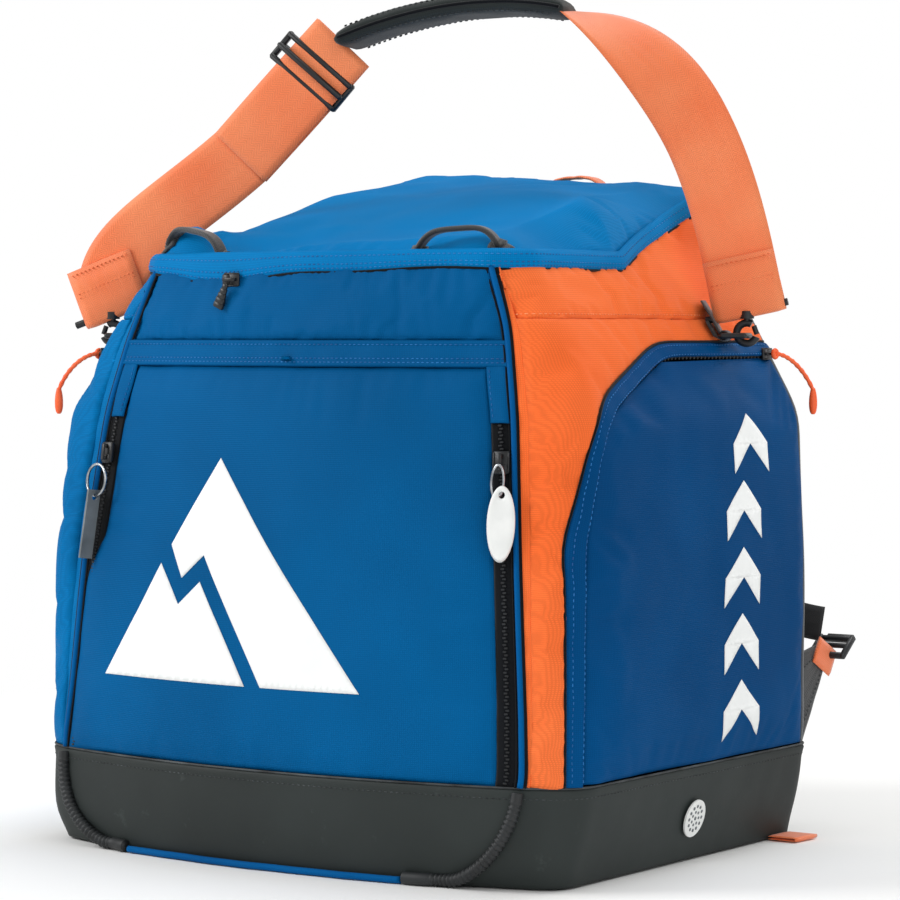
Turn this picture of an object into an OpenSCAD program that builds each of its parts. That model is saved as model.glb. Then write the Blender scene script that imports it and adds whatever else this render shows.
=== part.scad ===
// Ski boot bag: a boxy soft bag with a boot pocket on each side, a zipped lid, a front pocket,
// a clip-on shoulder strap and a harness on the back.
// Frame: origin at the centre of the underside, +Z up, +X to the right of the front, front faces -Y.

/* [Body] */
// Height of the tarpaulin base
base_h = 66; // [62:1:70]
// Y position of the flat back
back_y = 168; // [164:1:172]
// Thickness of a padded body panel
wall = 4; // [3:0.5:5]
// Gap left between neighbouring sewn panels
seam_gap = 1; // [0.8:0.1:1.2]
// Distance of each boot divider from the middle
divider_x = 82; // [80:1:90]

/* [Lid] */
// Height of the rim along the front half
rim_z = 398; // [394:1:400]
// Rise of the rim for each millimetre towards the back
rim_slope = 0.348; // [0.33:0.002:0.36]

/* [Boot doors] */
// Foot of the front edge of a door, from the middle
door_foot_y = 141; // [138:1:142]
// Height of the straight top edge of a door
door_top_z = 335; // [330:1:336]
// Radius where the arch of a door meets its straight top
door_round = 53; // [50:1:56]
// Width of the zip lane around a door
zip_lane = 9; // [9:0.5:10]
// Width of the storm flap outside the zip lane
flap_w = 6; // [5:0.5:7]

/* [Shoulder strap] */
// Width of the shoulder strap webbing
webbing_w = 50; // [45:1:52]
// Thickness of the shoulder strap webbing
webbing_t = 1.8; // [1.4:0.1:2.2]
// Turn of the strap's plane from the X axis
strap_turn = 24; // [23:0.5:25]
// Height of the clip rings and of the strap's swing axis
ring_z = 353; // [353:0.5:354]
// Thickness of the shoulder pad
pad_t = 15; // [12:1:18]

/* [Harness] */
// Width of a harness pad
harness_w = 62; // [55:1:68]
// Thickness of a harness pad
harness_t = 9; // [7:1:11]

/* [Hidden] */

$fn = 40;
hull_fn = 16;
post_h = 0.6;
far = 320;

// Plan outlines of the body from the floor up. Each row holds the height, the half width, the
// front seam's half width, the front seam's y, the crown of the front, the y of the rounded side
// shoulder and the shoulder's radius.
LEVELS = [
    [0, 212, 131, -179, 10, -136, 20],
    [16, 218, 174, -180, 16, -144, 26],
    [40, 224, 190, -176.5, 22, -136, 32],
    [66, 227, 198, -172, 26, -132, 34],
    [200, 228, 187, -156, 26, -130, 26],
    [300, 223, 176, -143, 24, -121, 22],
    [357, 190, 163, -137, 18, -111, 24],
    [400, 163, 145, -133, 14, -104, 20],
    [412, 154, 139, -129, 12, -102, 18]
];
top_row = len(LEVELS) - 1;
lid_row = top_row - 1;
front_steps = 5;
seam_r = 8;
back_inset = 18;
back_r = 20;

// The crown of the lid: half width, y and height of its corner posts.
CROWN = [[151, 24, 448], [148, back_y - 18, 468]];
crown_r = 16;

piping_w = 4;
door_cut_right = 150;
door_cut_left = 125;
door_floor_z = base_h + 2;
zip_inset = 11;
zip_half_w = 7.5;
front_zip_top = 300;
band_low = 333;
band_high = 350;
pocket_side_slope = back_inset / 284;

strap_dir = [cos(strap_turn), sin(strap_turn), 0];
strap_normal = [sin(strap_turn), -cos(strap_turn), 0];
UP = [0, 0, 1];

// ---- Positions on the body ----

function mix(a, b, t) = a + (b - a) * t;
function unit(v) = v / norm(v);

// The outline row at height z, blended between the rows around it.
function row_at(z, i = 0) =
    i < top_row - 1 && z >= LEVELS[i + 1][0]
        ? row_at(z, i + 1)
        : mix(LEVELS[i], LEVELS[i + 1], (z - LEVELS[i][0]) / (LEVELS[i + 1][0] - LEVELS[i][0]));
function seam_x(z) = row_at(z)[2];
function front_y(x, z) =
    let (r = row_at(z), t = min(1, abs(x) / (r[2] - seam_r)))
    r[3] - r[4] * (1 - t * t);
function side_x(y, z) =
    let (r = row_at(z))
    mix(r[1], r[1] - back_inset, (y - r[5]) / (back_y - back_r - r[5]));
function zip_x(z) = seam_x(z) - zip_inset;

// A point of the strap's plane: s along the plane, z up.
function strap_point(s, z) = s * strap_dir + z * UP;
function bezier(a, b, c, d, t) =
    a * pow(1 - t, 3) + 3 * b * pow(1 - t, 2) * t + 3 * c * (1 - t) * t * t + d * pow(t, 3);
function curve(a, b, c, d, steps) = [for (i = [0:steps]) bezier(a, b, c, d, i / steps)];
function along(path, i) =
    unit(path[min(i + 1, len(path) - 1)] - path[max(i - 1, 0)]);

// ---- Shared shapes ----

module post(r) {
    cylinder(h = post_h, r = r, $fn = hull_fn);
}

// The posts of the outline rows from first to last.
module rows(first, last, grow) {
    for (n = [first:last]) {
        r = LEVELS[n];
        z = n == 0 ? -grow : r[0];
        for (i = [-front_steps:front_steps]) {
            t = i / front_steps;
            translate([t * (r[2] - seam_r), r[3] - r[4] * (1 - t * t) + seam_r, z])
                post(seam_r + grow);
        }
        for (s = [-1, 1]) {
            translate([s * (r[1] - r[6]), r[5], z])
                post(r[6] + grow);
            translate([s * (r[1] - back_inset - back_r), back_y - back_r, z])
                post(back_r + grow);
        }
    }
}

// The whole outer form, moved outwards by grow: the wide body with the narrower lid on top.
module form(grow = 0) {
    hull()
        rows(0, lid_row, grow);
    hull() {
        rows(lid_row, top_row, grow);
        for (c = CROWN, s = [-1, 1])
            translate([s * (c[0] - crown_r), c[1], c[2] + grow])
                post(crown_r + grow);
    }
}

// The skin of the body between two offsets from its outer face.
module skin(outer = 0, inner = -wall) {
    difference() {
        form(outer);
        form(inner);
    }
}

// A block between two heights.
module slab(low, high) {
    translate([-far, -far, low])
        cube([2 * far, 2 * far, high - low]);
}

// Everything below the rim line, less a margin.
module under_rim(margin = 0) {
    rotate([90, 0, 90])
        translate([0, 0, -far])
            linear_extrude(2 * far)
                polygon([
                    [-far, base_h + seam_gap / 2], [-far, rim_z - margin], [0, rim_z - margin],
                    [far, rim_z + far * rim_slope - margin], [far, base_h + seam_gap / 2]
                ]);
}

// Everything above the rim line, plus a margin.
module over_rim(margin = 0) {
    rotate([90, 0, 90])
        translate([0, 0, -far])
            linear_extrude(2 * far)
                polygon([
                    [-far, rim_z + margin], [0, rim_z + margin],
                    [far, rim_z + far * rim_slope + margin], [far, 2 * far], [-far, 2 * far]
                ]);
}

// The heights between low and high at which the outline changes, with both ends.
function stops(low, high) =
    concat([low], [for (r = LEVELS) if (r[0] > low && r[0] < high) r[0]], [high]);

// A prism through the front between two distances outside the front seams, on both sides.
module front_prism(low, high, edge) {
    heights = stops(low, high);
    right = [for (z = heights) [seam_x(z) + edge, z]];
    left = [for (i = [len(heights) - 1:-1:0]) [-seam_x(heights[i]) - edge, heights[i]]];
    translate([0, -108, 0])
        rotate([90, 0, 0])
            linear_extrude(far)
                polygon(concat(right, left));
}

// A strip of the front on one side, between two distances outside the front seam.
module front_strip(side, low, high, inner_edge, outer_edge) {
    heights = stops(low, high);
    outer_line = [for (z = heights) [side * (seam_x(z) + outer_edge), z]];
    inner_line = [
        for (i = [len(heights) - 1:-1:0]) [side * (seam_x(heights[i]) + inner_edge), heights[i]]
    ];
    translate([0, -108, 0])
        rotate([90, 0, 0])
            linear_extrude(far)
                polygon(concat(outer_line, inner_line));
}

// The arched outline of a boot door, through one side and widened by grow. The left door is the
// right one turned half way round and moved, so its straight end faces the front.
module arch(side, grow = 0) {
    cut = side > 0 ? door_cut_right : door_cut_left;
    shift = side > 0 ? 0 : -18;
    rounds = [[-88, 210, 50], [-78, 262, 45], [4, door_top_z - door_round, door_round]];
    rotate([90, 0, 90])
        translate([0, 0, side > 0 ? 0 : -far])
            linear_extrude(far)
                intersection() {
                    offset(r = grow)
                        hull() {
                            for (z = [door_floor_z, door_top_z - 1])
                                translate([side * (cut + 60), z])
                                    square([1, 2], center = true);
                            translate([shift - side * door_foot_y, door_floor_z])
                                square([1, 2], center = true);
                            for (c = rounds)
                                translate([shift + side * c[0], c[1]])
                                    circle(r = c[2], $fn = 32);
                        }
                    translate([side > 0 ? -far : -cut, door_floor_z])
                        square([far + cut, far]);
                }
}

// A flat band along a path: centres, the band's across directions, width and thickness. Both
// faces split along the same diagonals, so that a twisted band keeps its thickness.
module ribbon(path, across, width, thick) {
    n = len(path);
    points = [
        for (i = [0:n - 1])
            let (face = unit(cross(along(path, i), across[i])))
            for (c = [[-1, -1], [1, -1], [1, 1], [-1, 1]])
                path[i] + across[i] * c[0] * width / 2 + face * c[1] * thick / 2
    ];
    sides = [
        for (i = [0:n - 2], k = [0:3], h = [0, 1])
            let (a = 4 * i + k, b = 4 * i + (k + 1) % 4)
            k < 2
                ? (h == 0 ? [a, a + 4, b + 4] : [a, b + 4, b])
                : (h == 0 ? [a, a + 4, b] : [b, a + 4, b + 4])
    ];
    last = 4 * n - 1;
    ends = [[0, 1, 2], [0, 2, 3], [last, last - 1, last - 2], [last, last - 2, last - 3]];
    polyhedron(points, concat(sides, ends), convexity = 6);
}

// A round cord along a path that never runs straight along the guide direction.
module cord(path, radius, guide = UP, corners = 10) {
    n = len(path);
    points = [
        for (i = [0:n - 1])
            let (a = unit(cross(guide, along(path, i))), b = cross(along(path, i), a))
            for (k = [0:corners - 1])
                path[i] + radius * (a * cos(360 * k / corners) + b * sin(360 * k / corners))
    ];
    sides = [
        for (i = [0:n - 2], k = [0:corners - 1], h = [0, 1])
            let (a = corners * i + k, b = corners * i + (k + 1) % corners)
            h == 0 ? [a, a + corners, b + corners] : [a, b + corners, b]
    ];
    top = corners * (n - 1);
    first = [for (k = [1:corners - 2]) [0, k, k + 1]];
    last = [for (k = [1:corners - 2]) [top, top + k + 1, top + k]];
    polyhedron(points, concat(sides, first, last), convexity = 6);
}

// ---- Base ----

module base_tub() {
    color("#363b3c")
        intersection() {
            skin();
            slab(-1, base_h - seam_gap / 2);
        }
}

module base_board() {
    color("#222426")
        intersection() {
            form(-wall - 2);
            slab(wall + 0.5, wall + 4.5);
        }
}

guard_r = 4;
guard_round = 63;
guard_centre_x = 131;
guard_floor = guard_r + 0.6;

// The centre line of a corner guard: round the corner, then along the foot to foot_x.
function guard_path(side, foot_x) = concat(
    [
        for (a = [86:-8:6])
            let (z = max(guard_floor, 65 - guard_round * cos(a)))
            [side * (guard_centre_x + guard_round * sin(a)), row_at(z)[3] - guard_r - 1.8, z]
    ],
    [
        for (x = [guard_centre_x - 2, foot_x])
            [side * x, front_y(x, guard_floor) - guard_r - 1.8, guard_floor]
    ]
);

module corner_guards() {
    color("#1d1f20") {
        cord(guard_path(1, 113), guard_r, [0, 1, 0]);
        cord(guard_path(-1, 124), guard_r, [0, 1, 0]);
    }
}

piping_r = 2.4;

module bottom_piping() {
    color("#0069a8")
        cord([
            for (i = [0:12])
                let (x = mix(-121, 110, i / 12))
                [x, front_y(x, piping_r + 0.4) - piping_r - 1.4, piping_r + 0.4]
        ], piping_r);
}

badge_y = 2;
badge_z = 31;
badge_r = 13;

module side_badge() {
    flare = atan((LEVELS[2][1] - LEVELS[1][1]) / (LEVELS[2][0] - LEVELS[1][0]));
    color("white")
        translate([side_x(badge_y, badge_z), badge_y, badge_z])
            rotate([0, 90 + flare, atan(pocket_side_slope)])
                translate([0, 0, 1.6])
                    cylinder(h = 1.2, r = badge_r);
}

module base_tab() {
    color("#ee6c2a")
        translate([side_x(124, 3.8) + 1, 124, 0.8])
            cube([22, 30, 3]);
}

// ---- Front ----

module front_zone(low, high) {
    intersection() {
        skin();
        front_prism(low + seam_gap / 2, high - seam_gap / 2, -piping_w / 2 - 0.6);
    }
}

module front_panel() {
    color("#0072b5")
        difference() {
            front_zone(base_h, band_low);
            for (side = [-1, 1])
                front_strip(side, base_h - 1, front_zip_top + 1, -zip_inset - zip_half_w - 0.8, 5);
        }
}

module front_band() {
    color("#0069a8")
        front_zone(band_low, band_high);
}

module front_yoke() {
    color("#0072b5")
        front_zone(band_high, rim_z);
}

module front_lining() {
    color("#25303a")
        intersection() {
            skin(-wall - 6, -wall - 7.5);
            front_prism(base_h + 6, rim_z - 16, -16);
        }
}

module front_zips() {
    color("#15171a")
        intersection() {
            skin(-0.5, -2.5);
            for (side = [-1, 1])
                front_strip(
                    side, base_h + 1.5, front_zip_top,
                    -zip_inset - zip_half_w, -piping_w / 2 - 0.8
                );
        }
}

module seam_piping() {
    color("#0f1214")
        intersection() {
            skin(1.5, -2.5);
            for (side = [-1, 1])
                front_strip(side, base_h + 1, rim_z - 1, -piping_w / 2, piping_w / 2);
        }
}

// ---- Sides and boot doors ----

module side_panel(side) {
    intersection() {
        difference() {
            skin();
            front_prism(base_h - 10, rim_z + 10, piping_w / 2 + 0.6);
            arch(side, zip_lane + 1);
        }
        under_rim(seam_gap / 2);
        translate([side > 0 ? 0 : -far, -far, 0])
            cube([far, far + door_cut_right, 2 * far]);
    }
}

module side_panel_right() {
    color("#ff7f3f")
        side_panel(1);
}

module side_panel_left() {
    color("#0072b5")
        side_panel(-1);
}

module lane(side, outer, inner, wide, narrow) {
    intersection() {
        skin(outer, inner);
        difference() {
            arch(side, wide);
            arch(side, narrow);
        }
        slab(door_floor_z, 2 * far);
        front_cut(side);
    }
}

// Keeps the left lane behind the front seam.
module front_cut(side) {
    translate([-far, side > 0 ? -far : -door_cut_left, 0])
        cube([2 * far, side > 0 ? far + door_cut_right : 2 * far, 2 * far]);
}

module door_zip_right() {
    color("#0d1a2a")
        lane(1, -0.5, -2.5, zip_lane, 1.6);
}

module door_zip_left() {
    color("#0d1a2a")
        lane(-1, -0.5, -2.5, zip_lane, 1.6);
}

module door_flap_right() {
    color("#005a9c")
        lane(1, 3, 1, zip_lane + flap_w, zip_lane);
}

module door_flap_left() {
    color("#005a9c")
        lane(-1, 3, 1, zip_lane + flap_w, zip_lane);
}

module door_panel(side) {
    intersection() {
        skin();
        arch(side);
    }
}

module door_panel_right() {
    color("#00508f")
        door_panel(1);
}

module door_panel_left() {
    color("#0069a8")
        door_panel(-1);
}

slider_l = 15;
slider_h = 7;
slider_t = 4;
lane_z = door_top_z + 1.8 + slider_h / 2;
slider_lift = 2.6;
slider_y_right = 140;
slider_y_left = -116;

// Places children at a door slider: x outwards from the wall, y along the zip, z up.
module at_door_slider(side) {
    y = side > 0 ? slider_y_right : slider_y_left;
    translate([side * (side_x(y, lane_z) + slider_lift), y, lane_z])
        rotate([0, 0, side * atan(pocket_side_slope)])
            mirror_for(side)
                children();
}

module mirror_for(side) {
    mirror([side > 0 ? 0 : 1, 0, 0])
        children();
}

module door_slider(side) {
    color("#15171a")
        at_door_slider(side)
            difference() {
                translate([0, -slider_l / 2, -slider_h / 2])
                    cube([slider_t, slider_l, slider_h]);
                translate([slider_t - 1.4, 0, -slider_h])
                    cylinder(h = 2 * slider_h, r = 0.9, $fn = 16);
            }
}

module door_slider_right() {
    door_slider(1);
}

module door_slider_left() {
    door_slider(-1);
}

cord_r = 1.6;
cord_drop = 26;
grip_r = 3.4;
grip_l = 16;
cord_end = 16;

// A cord pull that hangs past the straight end of the door.
module door_cord(side) {
    reach = slider_t + cord_r + 0.6;
    end = side * (slider_l / 2 + cord_end);
    low = [reach + 19, end, -cord_drop];
    path = curve([reach, side * 2, 0], [reach + 1, side * 12, 0], [reach + 11, end, -8], low, 8);
    color("#ff6a35")
        at_door_slider(side) {
            cord(path, cord_r, [1, 0, 0]);
            translate(low + [0.4, 0, -grip_l - 0.6])
                cylinder(h = grip_l, r = grip_r);
            translate(low + [0.2, 0, -1.6])
                cylinder(h = 2, r = cord_r);
        }
}

module door_cord_right() {
    door_cord(1);
}

module door_cord_left() {
    door_cord(-1);
}

// ---- Back and inside ----

module back_panel() {
    color("#1e2225")
        intersection() {
            skin();
            under_rim(seam_gap / 2);
            translate([-far, door_cut_right + seam_gap, 0])
                cube([2 * far, far, 2 * far]);
        }
}

pad_rows = [[92, 170], [186, 264], [280, 352]];
back_pad_t = 9;
back_pad_half_w = 120;

module back_pads() {
    color("#2b2f31")
        for (p = pad_rows)
            translate([0, back_y + 0.8 + back_pad_t, 0])
                rotate([90, 0, 0])
                    linear_extrude(back_pad_t)
                        offset(r = 12)
                            translate([-back_pad_half_w + 12, p[0] + 12])
                                square([2 * back_pad_half_w - 24, p[1] - p[0] - 24]);
}

module boot_dividers() {
    color("#39424a")
        intersection() {
            form(-wall - 9);
            under_rim(20);
            slab(wall + 6, 2 * far);
            for (side = [-1, 1])
                translate([side * divider_x - 2, -far, 0])
                    cube([4, 2 * far, 2 * far]);
        }
}

// ---- Lid ----

module lid_zip() {
    color("#15171a")
        intersection() {
            skin(-wall - 0.6, -wall - 2);
            under_rim(1);
            over_rim(-13);
            translate([-far, -far, 0])
                cube([2 * far, far + 148, 2 * far]);
        }
}

module lid_shell() {
    color("#0062a0")
        intersection() {
            skin();
            over_rim(seam_gap / 2);
        }
}

module lid_hem() {
    color("#0069a8")
        intersection() {
            skin(2.2, 0.8);
            over_rim(seam_gap / 2);
            slab(rim_z, rim_z + 10.5);
            translate([-far, -far, 0])
                cube([2 * far, far - 112, 2 * far]);
        }
}

// An upright arc of cord whose two ends stand on the given point's level.
module handle_arc(radius, half_angle, thick) {
    translate([0, 0, -radius * cos(half_angle)])
        rotate([90, 0, 0])
            rotate([0, 0, 90 - half_angle])
                rotate_extrude(angle = 2 * half_angle)
                    translate([radius, 0])
                        circle(r = thick, $fn = 20);
}

grab_x = 112;
grab_y = -124;
grab_z = 421;

module grab_loop(side) {
    color("#15171a")
        translate([side * grab_x, grab_y, grab_z])
            rotate([0, 0, side * 8])
                handle_arc(40, 46, 2.6);
}

module grab_loop_right() {
    grab_loop(1);
}

module grab_loop_left() {
    grab_loop(-1);
}

module haul_loop() {
    color("#ff6a35")
        translate([22, back_y - 22, 474.6])
            handle_arc(38, 42, 3);
}

lid_slider_x = -60;
lid_slider_z = rim_z - 7;

// Places children on the front at the lid zip: x along the zip, -y outwards.
module at_lid_slider() {
    turn = atan(
        (front_y(lid_slider_x + 1, lid_slider_z) - front_y(lid_slider_x - 1, lid_slider_z)) / 2
    );
    translate([lid_slider_x, front_y(lid_slider_x, lid_slider_z) - 2.2, lid_slider_z])
        rotate([0, 0, turn])
            children();
}

module lid_slider() {
    color("#15171a")
        at_lid_slider()
            translate([-8, -5, -4.5])
                cube([16, 5, 9]);
}

module lid_puller() {
    color("#15171a")
        at_lid_slider()
            difference() {
                translate([-5, -8, -26])
                    cube([10, 2.2, 24]);
                translate([0, 0, -22])
                    rotate([90, 0, 0])
                        cylinder(h = 20, r = 2.2);
            }
}

// ---- Front zip sliders and tags ----

front_slider_z = 272;
front_lean = 5.7;
front_yaw = 14;

// Places children on a front zip: x across the zip, -y outwards, z along the zip.
module at_front_slider(side, z = front_slider_z) {
    x = side * zip_x(z);
    translate([x, front_y(x, z) - 5, z])
        rotate([-front_lean, -side * atan((zip_x(100) - zip_x(272)) / 172), side * front_yaw])
            children();
}

module front_slider(side) {
    color("#1b1d1f")
        at_front_slider(side)
            translate([-5.5, -6, -8])
                cube([11, 5, 16]);
}

module front_slider_right() {
    front_slider(1);
}

module front_slider_left() {
    front_slider(-1);
}

tag_w = 23;
tag_l = 52;

module zip_tag_right() {
    color("white")
        at_front_slider(1)
            translate([0, -7.2, -14 - tag_l / 2])
                rotate([90, 0, 0])
                    difference() {
                        hull() {
                            for (s = [-1, 1])
                                translate([0, s * (tag_l - tag_w) / 2, 0])
                                    cylinder(h = 2, r = tag_w / 2, $fn = 32);
                        }
                        translate([0, tag_l / 2 - 6, -1])
                            cylinder(h = 4, r = 2.4);
                    }
}

zip_ring_r = 11;

module zip_ring_left() {
    color("silver")
        at_front_slider(-1)
            translate([0, -8.2, -9 - zip_ring_r])
                rotate([90, 0, 0])
                    rotate_extrude()
                        translate([zip_ring_r, 0])
                            circle(r = 1, $fn = 16);
}

module zip_tag_left() {
    color("#6a6f72")
        at_front_slider(-1)
            translate([-1, -14, -9 - 2 * zip_ring_r - 44])
                difference() {
                    cube([2, 10, 48]);
                    translate([-1, 6, 43])
                        rotate([0, 90, 0])
                            cylinder(h = 4, r = 2.4);
                }
}

// ---- Clip rings and hooks ----

ring_rod = 2;
ring_half_l = 14;
ring_l = 15;
hook_rod = 2.6;
hook_r = 7;
hook_play = 0.6;
hook_centre_z = ring_z - ring_rod - hook_rod - hook_play + hook_r;
hook_top_z = hook_centre_z + hook_r + hook_rod;

// Distance of a clip ring's bar from the middle, and of the far rod that holds the hook.
function ring_bar_s(side) = side > 0 ? 205 : 221;
function ring_reach(side) = ring_bar_s(side) + ring_l;

// Places children with x along the strap's plane away from the middle and y across it.
module at_strap(side, s, z) {
    rotate([0, 0, strap_turn + (side > 0 ? 0 : 180)])
        translate([s, 0, z])
            children();
}

// A rectangular ring of rod lying flat, bar on the wall side.
module clip_ring(side) {
    color("#17191b")
        at_strap(side, ring_bar_s(side), ring_z) {
            for (x = [0, ring_l])
                translate([x, 0, 0])
                    rotate([90, 0, 0])
                        cylinder(h = 2 * ring_half_l, r = ring_rod, center = true, $fn = 24);
            for (y = [-1, 1])
                translate([0, y * ring_half_l, 0])
                    rotate([0, 90, 0])
                        cylinder(h = ring_l, r = ring_rod, $fn = 24);
            for (x = [0, ring_l], y = [-1, 1])
                translate([x, y * ring_half_l, 0])
                    sphere(r = ring_rod, $fn = 24);
        }
}

module clip_ring_right() {
    clip_ring(1);
}

module clip_ring_left() {
    clip_ring(-1);
}

// The webbing tabs that hold the clip rings by their bars.
module ring_tabs() {
    tab_w = 22;
    tab_t = 1.6;
    tab_l = 15;
    play = 0.4;
    color("#15171a")
        difference() {
            for (side = [-1, 1])
                at_strap(side, ring_bar_s(side), ring_z)
                    difference() {
                        union() {
                            rotate([90, 0, 0])
                                cylinder(h = tab_w, r = ring_rod + tab_t + play, center = true);
                            rotate([0, -62, 0])
                                translate([-ring_rod - tab_t - play, -tab_w / 2, 0])
                                    cube([tab_t, tab_w, tab_l]);
                        }
                        rotate([90, 0, 0])
                            cylinder(h = 2 * tab_w, r = ring_rod + play, center = true);
                    }
            form(0.4);
            intersection() {
                form(3.6);
                slab(0, door_top_z + zip_lane + flap_w + 0.8);
            }
        }
}

gate_from = -22;
gate_to = 62;
gate_rod = 1.8;
neck_r = 2.2;
neck_l = hook_rod + 1.4;

// The hook's loop, open on its outer side, and its neck.
module snap_hook(side) {
    color("#17191b")
        at_strap(side, ring_reach(side), hook_centre_z)
            rotate([90, 0, 0]) {
                rotate([0, 0, gate_to])
                    rotate_extrude(angle = 360 - gate_to + gate_from)
                        translate([hook_r, 0])
                            circle(r = hook_rod, $fn = 24);
                translate([0, hook_r, 0])
                    rotate([-90, 0, 0])
                        cylinder(h = neck_l, r = neck_r, $fn = 24);
            }
}

module snap_hook_right() {
    snap_hook(1);
}

module snap_hook_left() {
    snap_hook(-1);
}

// The sprung gate across the hook's opening.
module hook_gate(side) {
    from = hook_r * [cos(gate_to - 16), 0, sin(gate_to - 16)];
    to = hook_r * [cos(gate_from + 16), 0, sin(gate_from + 16)];
    length = norm(to - from);
    color("#2a2d30")
        at_strap(side, ring_reach(side), hook_centre_z)
            translate(from)
                rotate([0, 180 - atan((to[0] - from[0]) / (from[2] - to[2])), 0])
                    cylinder(h = length, r = gate_rod, $fn = 24);
}

module hook_gate_right() {
    hook_gate(1);
}

module hook_gate_left() {
    hook_gate(-1);
}

bar_r = 2.5;
socket_r = 5;
socket_h = 5.2;
bar_z = hook_top_z + socket_h + 0.4;

// Each webbing bar tilts to lie square to its leg of the strap.
function bar_tilt(side) = side > 0 ? 13 : -20;

// The webbing bar with the socket that the hook turns in.
module hook_swivel(side) {
    color("#17191b") {
        at_strap(side, ring_reach(side), bar_z - socket_h)
            difference() {
                cylinder(h = socket_h, r = socket_r);
                translate([0, 0, -1])
                    cylinder(h = socket_h - bar_r + 1, r = neck_r + 0.4);
            }
        at_strap(side, ring_reach(side), bar_z)
            rotate([0, 90 - bar_tilt(side), 0])
                cylinder(h = webbing_w + 8, r = bar_r, center = true, $fn = 24);
    }
}

module hook_swivel_right() {
    hook_swivel(1);
}

module hook_swivel_left() {
    hook_swivel(-1);
}

// ---- Shoulder strap ----

leg_foot_z = bar_z + 4.5;

// The path of the strap's right leg, from the hook up to the pad.
right_path = curve(
    strap_point(ring_reach(1) + 1, leg_foot_z), strap_point(206, 440), strap_point(190, 547),
    strap_point(97, 577), 16
);
pad_path = curve(
    strap_point(94, 577.5), strap_point(50, 588), strap_point(-10, 582), strap_point(-62, 561), 12
);
left_top = strap_point(-74, 556);
left_bend = strap_point(-141, 479);
left_path = curve(
    left_bend, strap_point(-192, 436), strap_point(-250, 412),
    strap_point(0.6 - ring_reach(-1), leg_foot_z + 2.6), 10
);

// The across direction of a leg: in the strap's plane at the foot, square to it at the pad.
function leg_across(path, i, turn) =
    let (flat = unit(cross(strap_normal, along(path, i))))
    unit(flat * cos(turn) + strap_normal * sin(turn));

module strap_webbing_right() {
    n = len(right_path);
    color("#ff7f42")
        ribbon(
            right_path,
            [
                for (i = [0:n - 1])
                    leg_across(right_path, i, 90 * pow(max(0, i / (n - 1) * 2 - 1), 1.5))
            ],
            webbing_w, webbing_t
        );
}

// The left leg runs as two layers below the adjuster and as one below the bend.
module strap_webbing_left() {
    gap = strap_normal * 2.2;
    color("#ff7f42") {
        for (s = [-1, 1])
            ribbon(
                [left_top + s * gap, left_bend + s * gap],
                [for (i = [0, 1]) unit(cross(strap_normal, left_bend - left_top))],
                webbing_w, webbing_t
            );
        ribbon(
            left_path,
            [for (i = [0:len(left_path) - 1]) leg_across(left_path, i, 0)],
            webbing_w, 5
        );
    }
}

module shoulder_pad() {
    color("#3a3f3f")
        ribbon(pad_path, [for (p = pad_path) strap_normal], webbing_w + 6, pad_t);
}

adjuster_l = 24;

module strap_adjuster() {
    run = left_bend - left_top;
    slope = atan2(run[2], -norm([run[0], run[1]]));
    centre = mix(left_top, left_bend, 0.22);
    color("#17191b")
        translate(centre)
            rotate([0, 0, strap_turn])
                rotate([0, -slope, 0])
                    difference() {
                        cube([adjuster_l, 14, webbing_w + 12], center = true);
                        cube([adjuster_l + 2, 9.5, webbing_w + 3], center = true);
                    }
}

// ---- Harness ----

harness_top_z = 418;
harness_y = 190;
wing_x = 196;

function harness_path(side) = curve(
    [side * 62, harness_y, harness_top_z], [side * 72, harness_y + 34, 330],
    [side * 112, harness_y + 30, 250], [side * 138, harness_y + 4, 172], 12
);

module harness_pad(side) {
    path = harness_path(side);
    color("#2b2f31")
        ribbon(
            path,
            [for (i = [0:len(path) - 1]) unit([1, 0, 0] - along(path, i) * along(path, i)[0])],
            harness_w, harness_t
        );
}

module harness_pad_right() {
    harness_pad(1);
}

module harness_pad_left() {
    harness_pad(-1);
}

module harness_wings() {
    color("#15171a")
        for (side = [-1, 1])
            translate([side * wing_x - 1.5, back_y + 0.8, 0])
                rotate([90, 0, 90])
                    linear_extrude(3)
                        polygon([[0, 62], [0, 128], [30, 134], [34, 118]]);
}

lock_y = back_y + 46;
lock_z = 130;
lock_w = 30;

// A ladder lock hangs on the tip of its wing.
module ladder_lock(side) {
    color("#17191b")
        translate([side * wing_x, lock_y, lock_z])
            rotate([-50, 0, 0])
                difference() {
                    cube([lock_w, 5, 22], center = true);
                    cube([lock_w - 4, 6, 7.4], center = true);
                }
}

module ladder_lock_right() {
    ladder_lock(1);
}

module ladder_lock_left() {
    ladder_lock(-1);
}

// The narrow webbing between a harness pad and its ladder lock.
module harness_webbing(side) {
    path = curve(
        [side * 142, harness_y + 1, 162], [side * 150, harness_y, 150],
        [side * 170, lock_y - 12, 148], [side * 181, lock_y - 7, 147], 6
    );
    color("#15171a")
        ribbon(
            path,
            [for (i = [0:len(path) - 1]) unit(cross([0, 1, 0], along(path, i)))],
            25, 1.8
        );
}

module harness_webbing_right() {
    harness_webbing(1);
}

module harness_webbing_left() {
    harness_webbing(-1);
}

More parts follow.
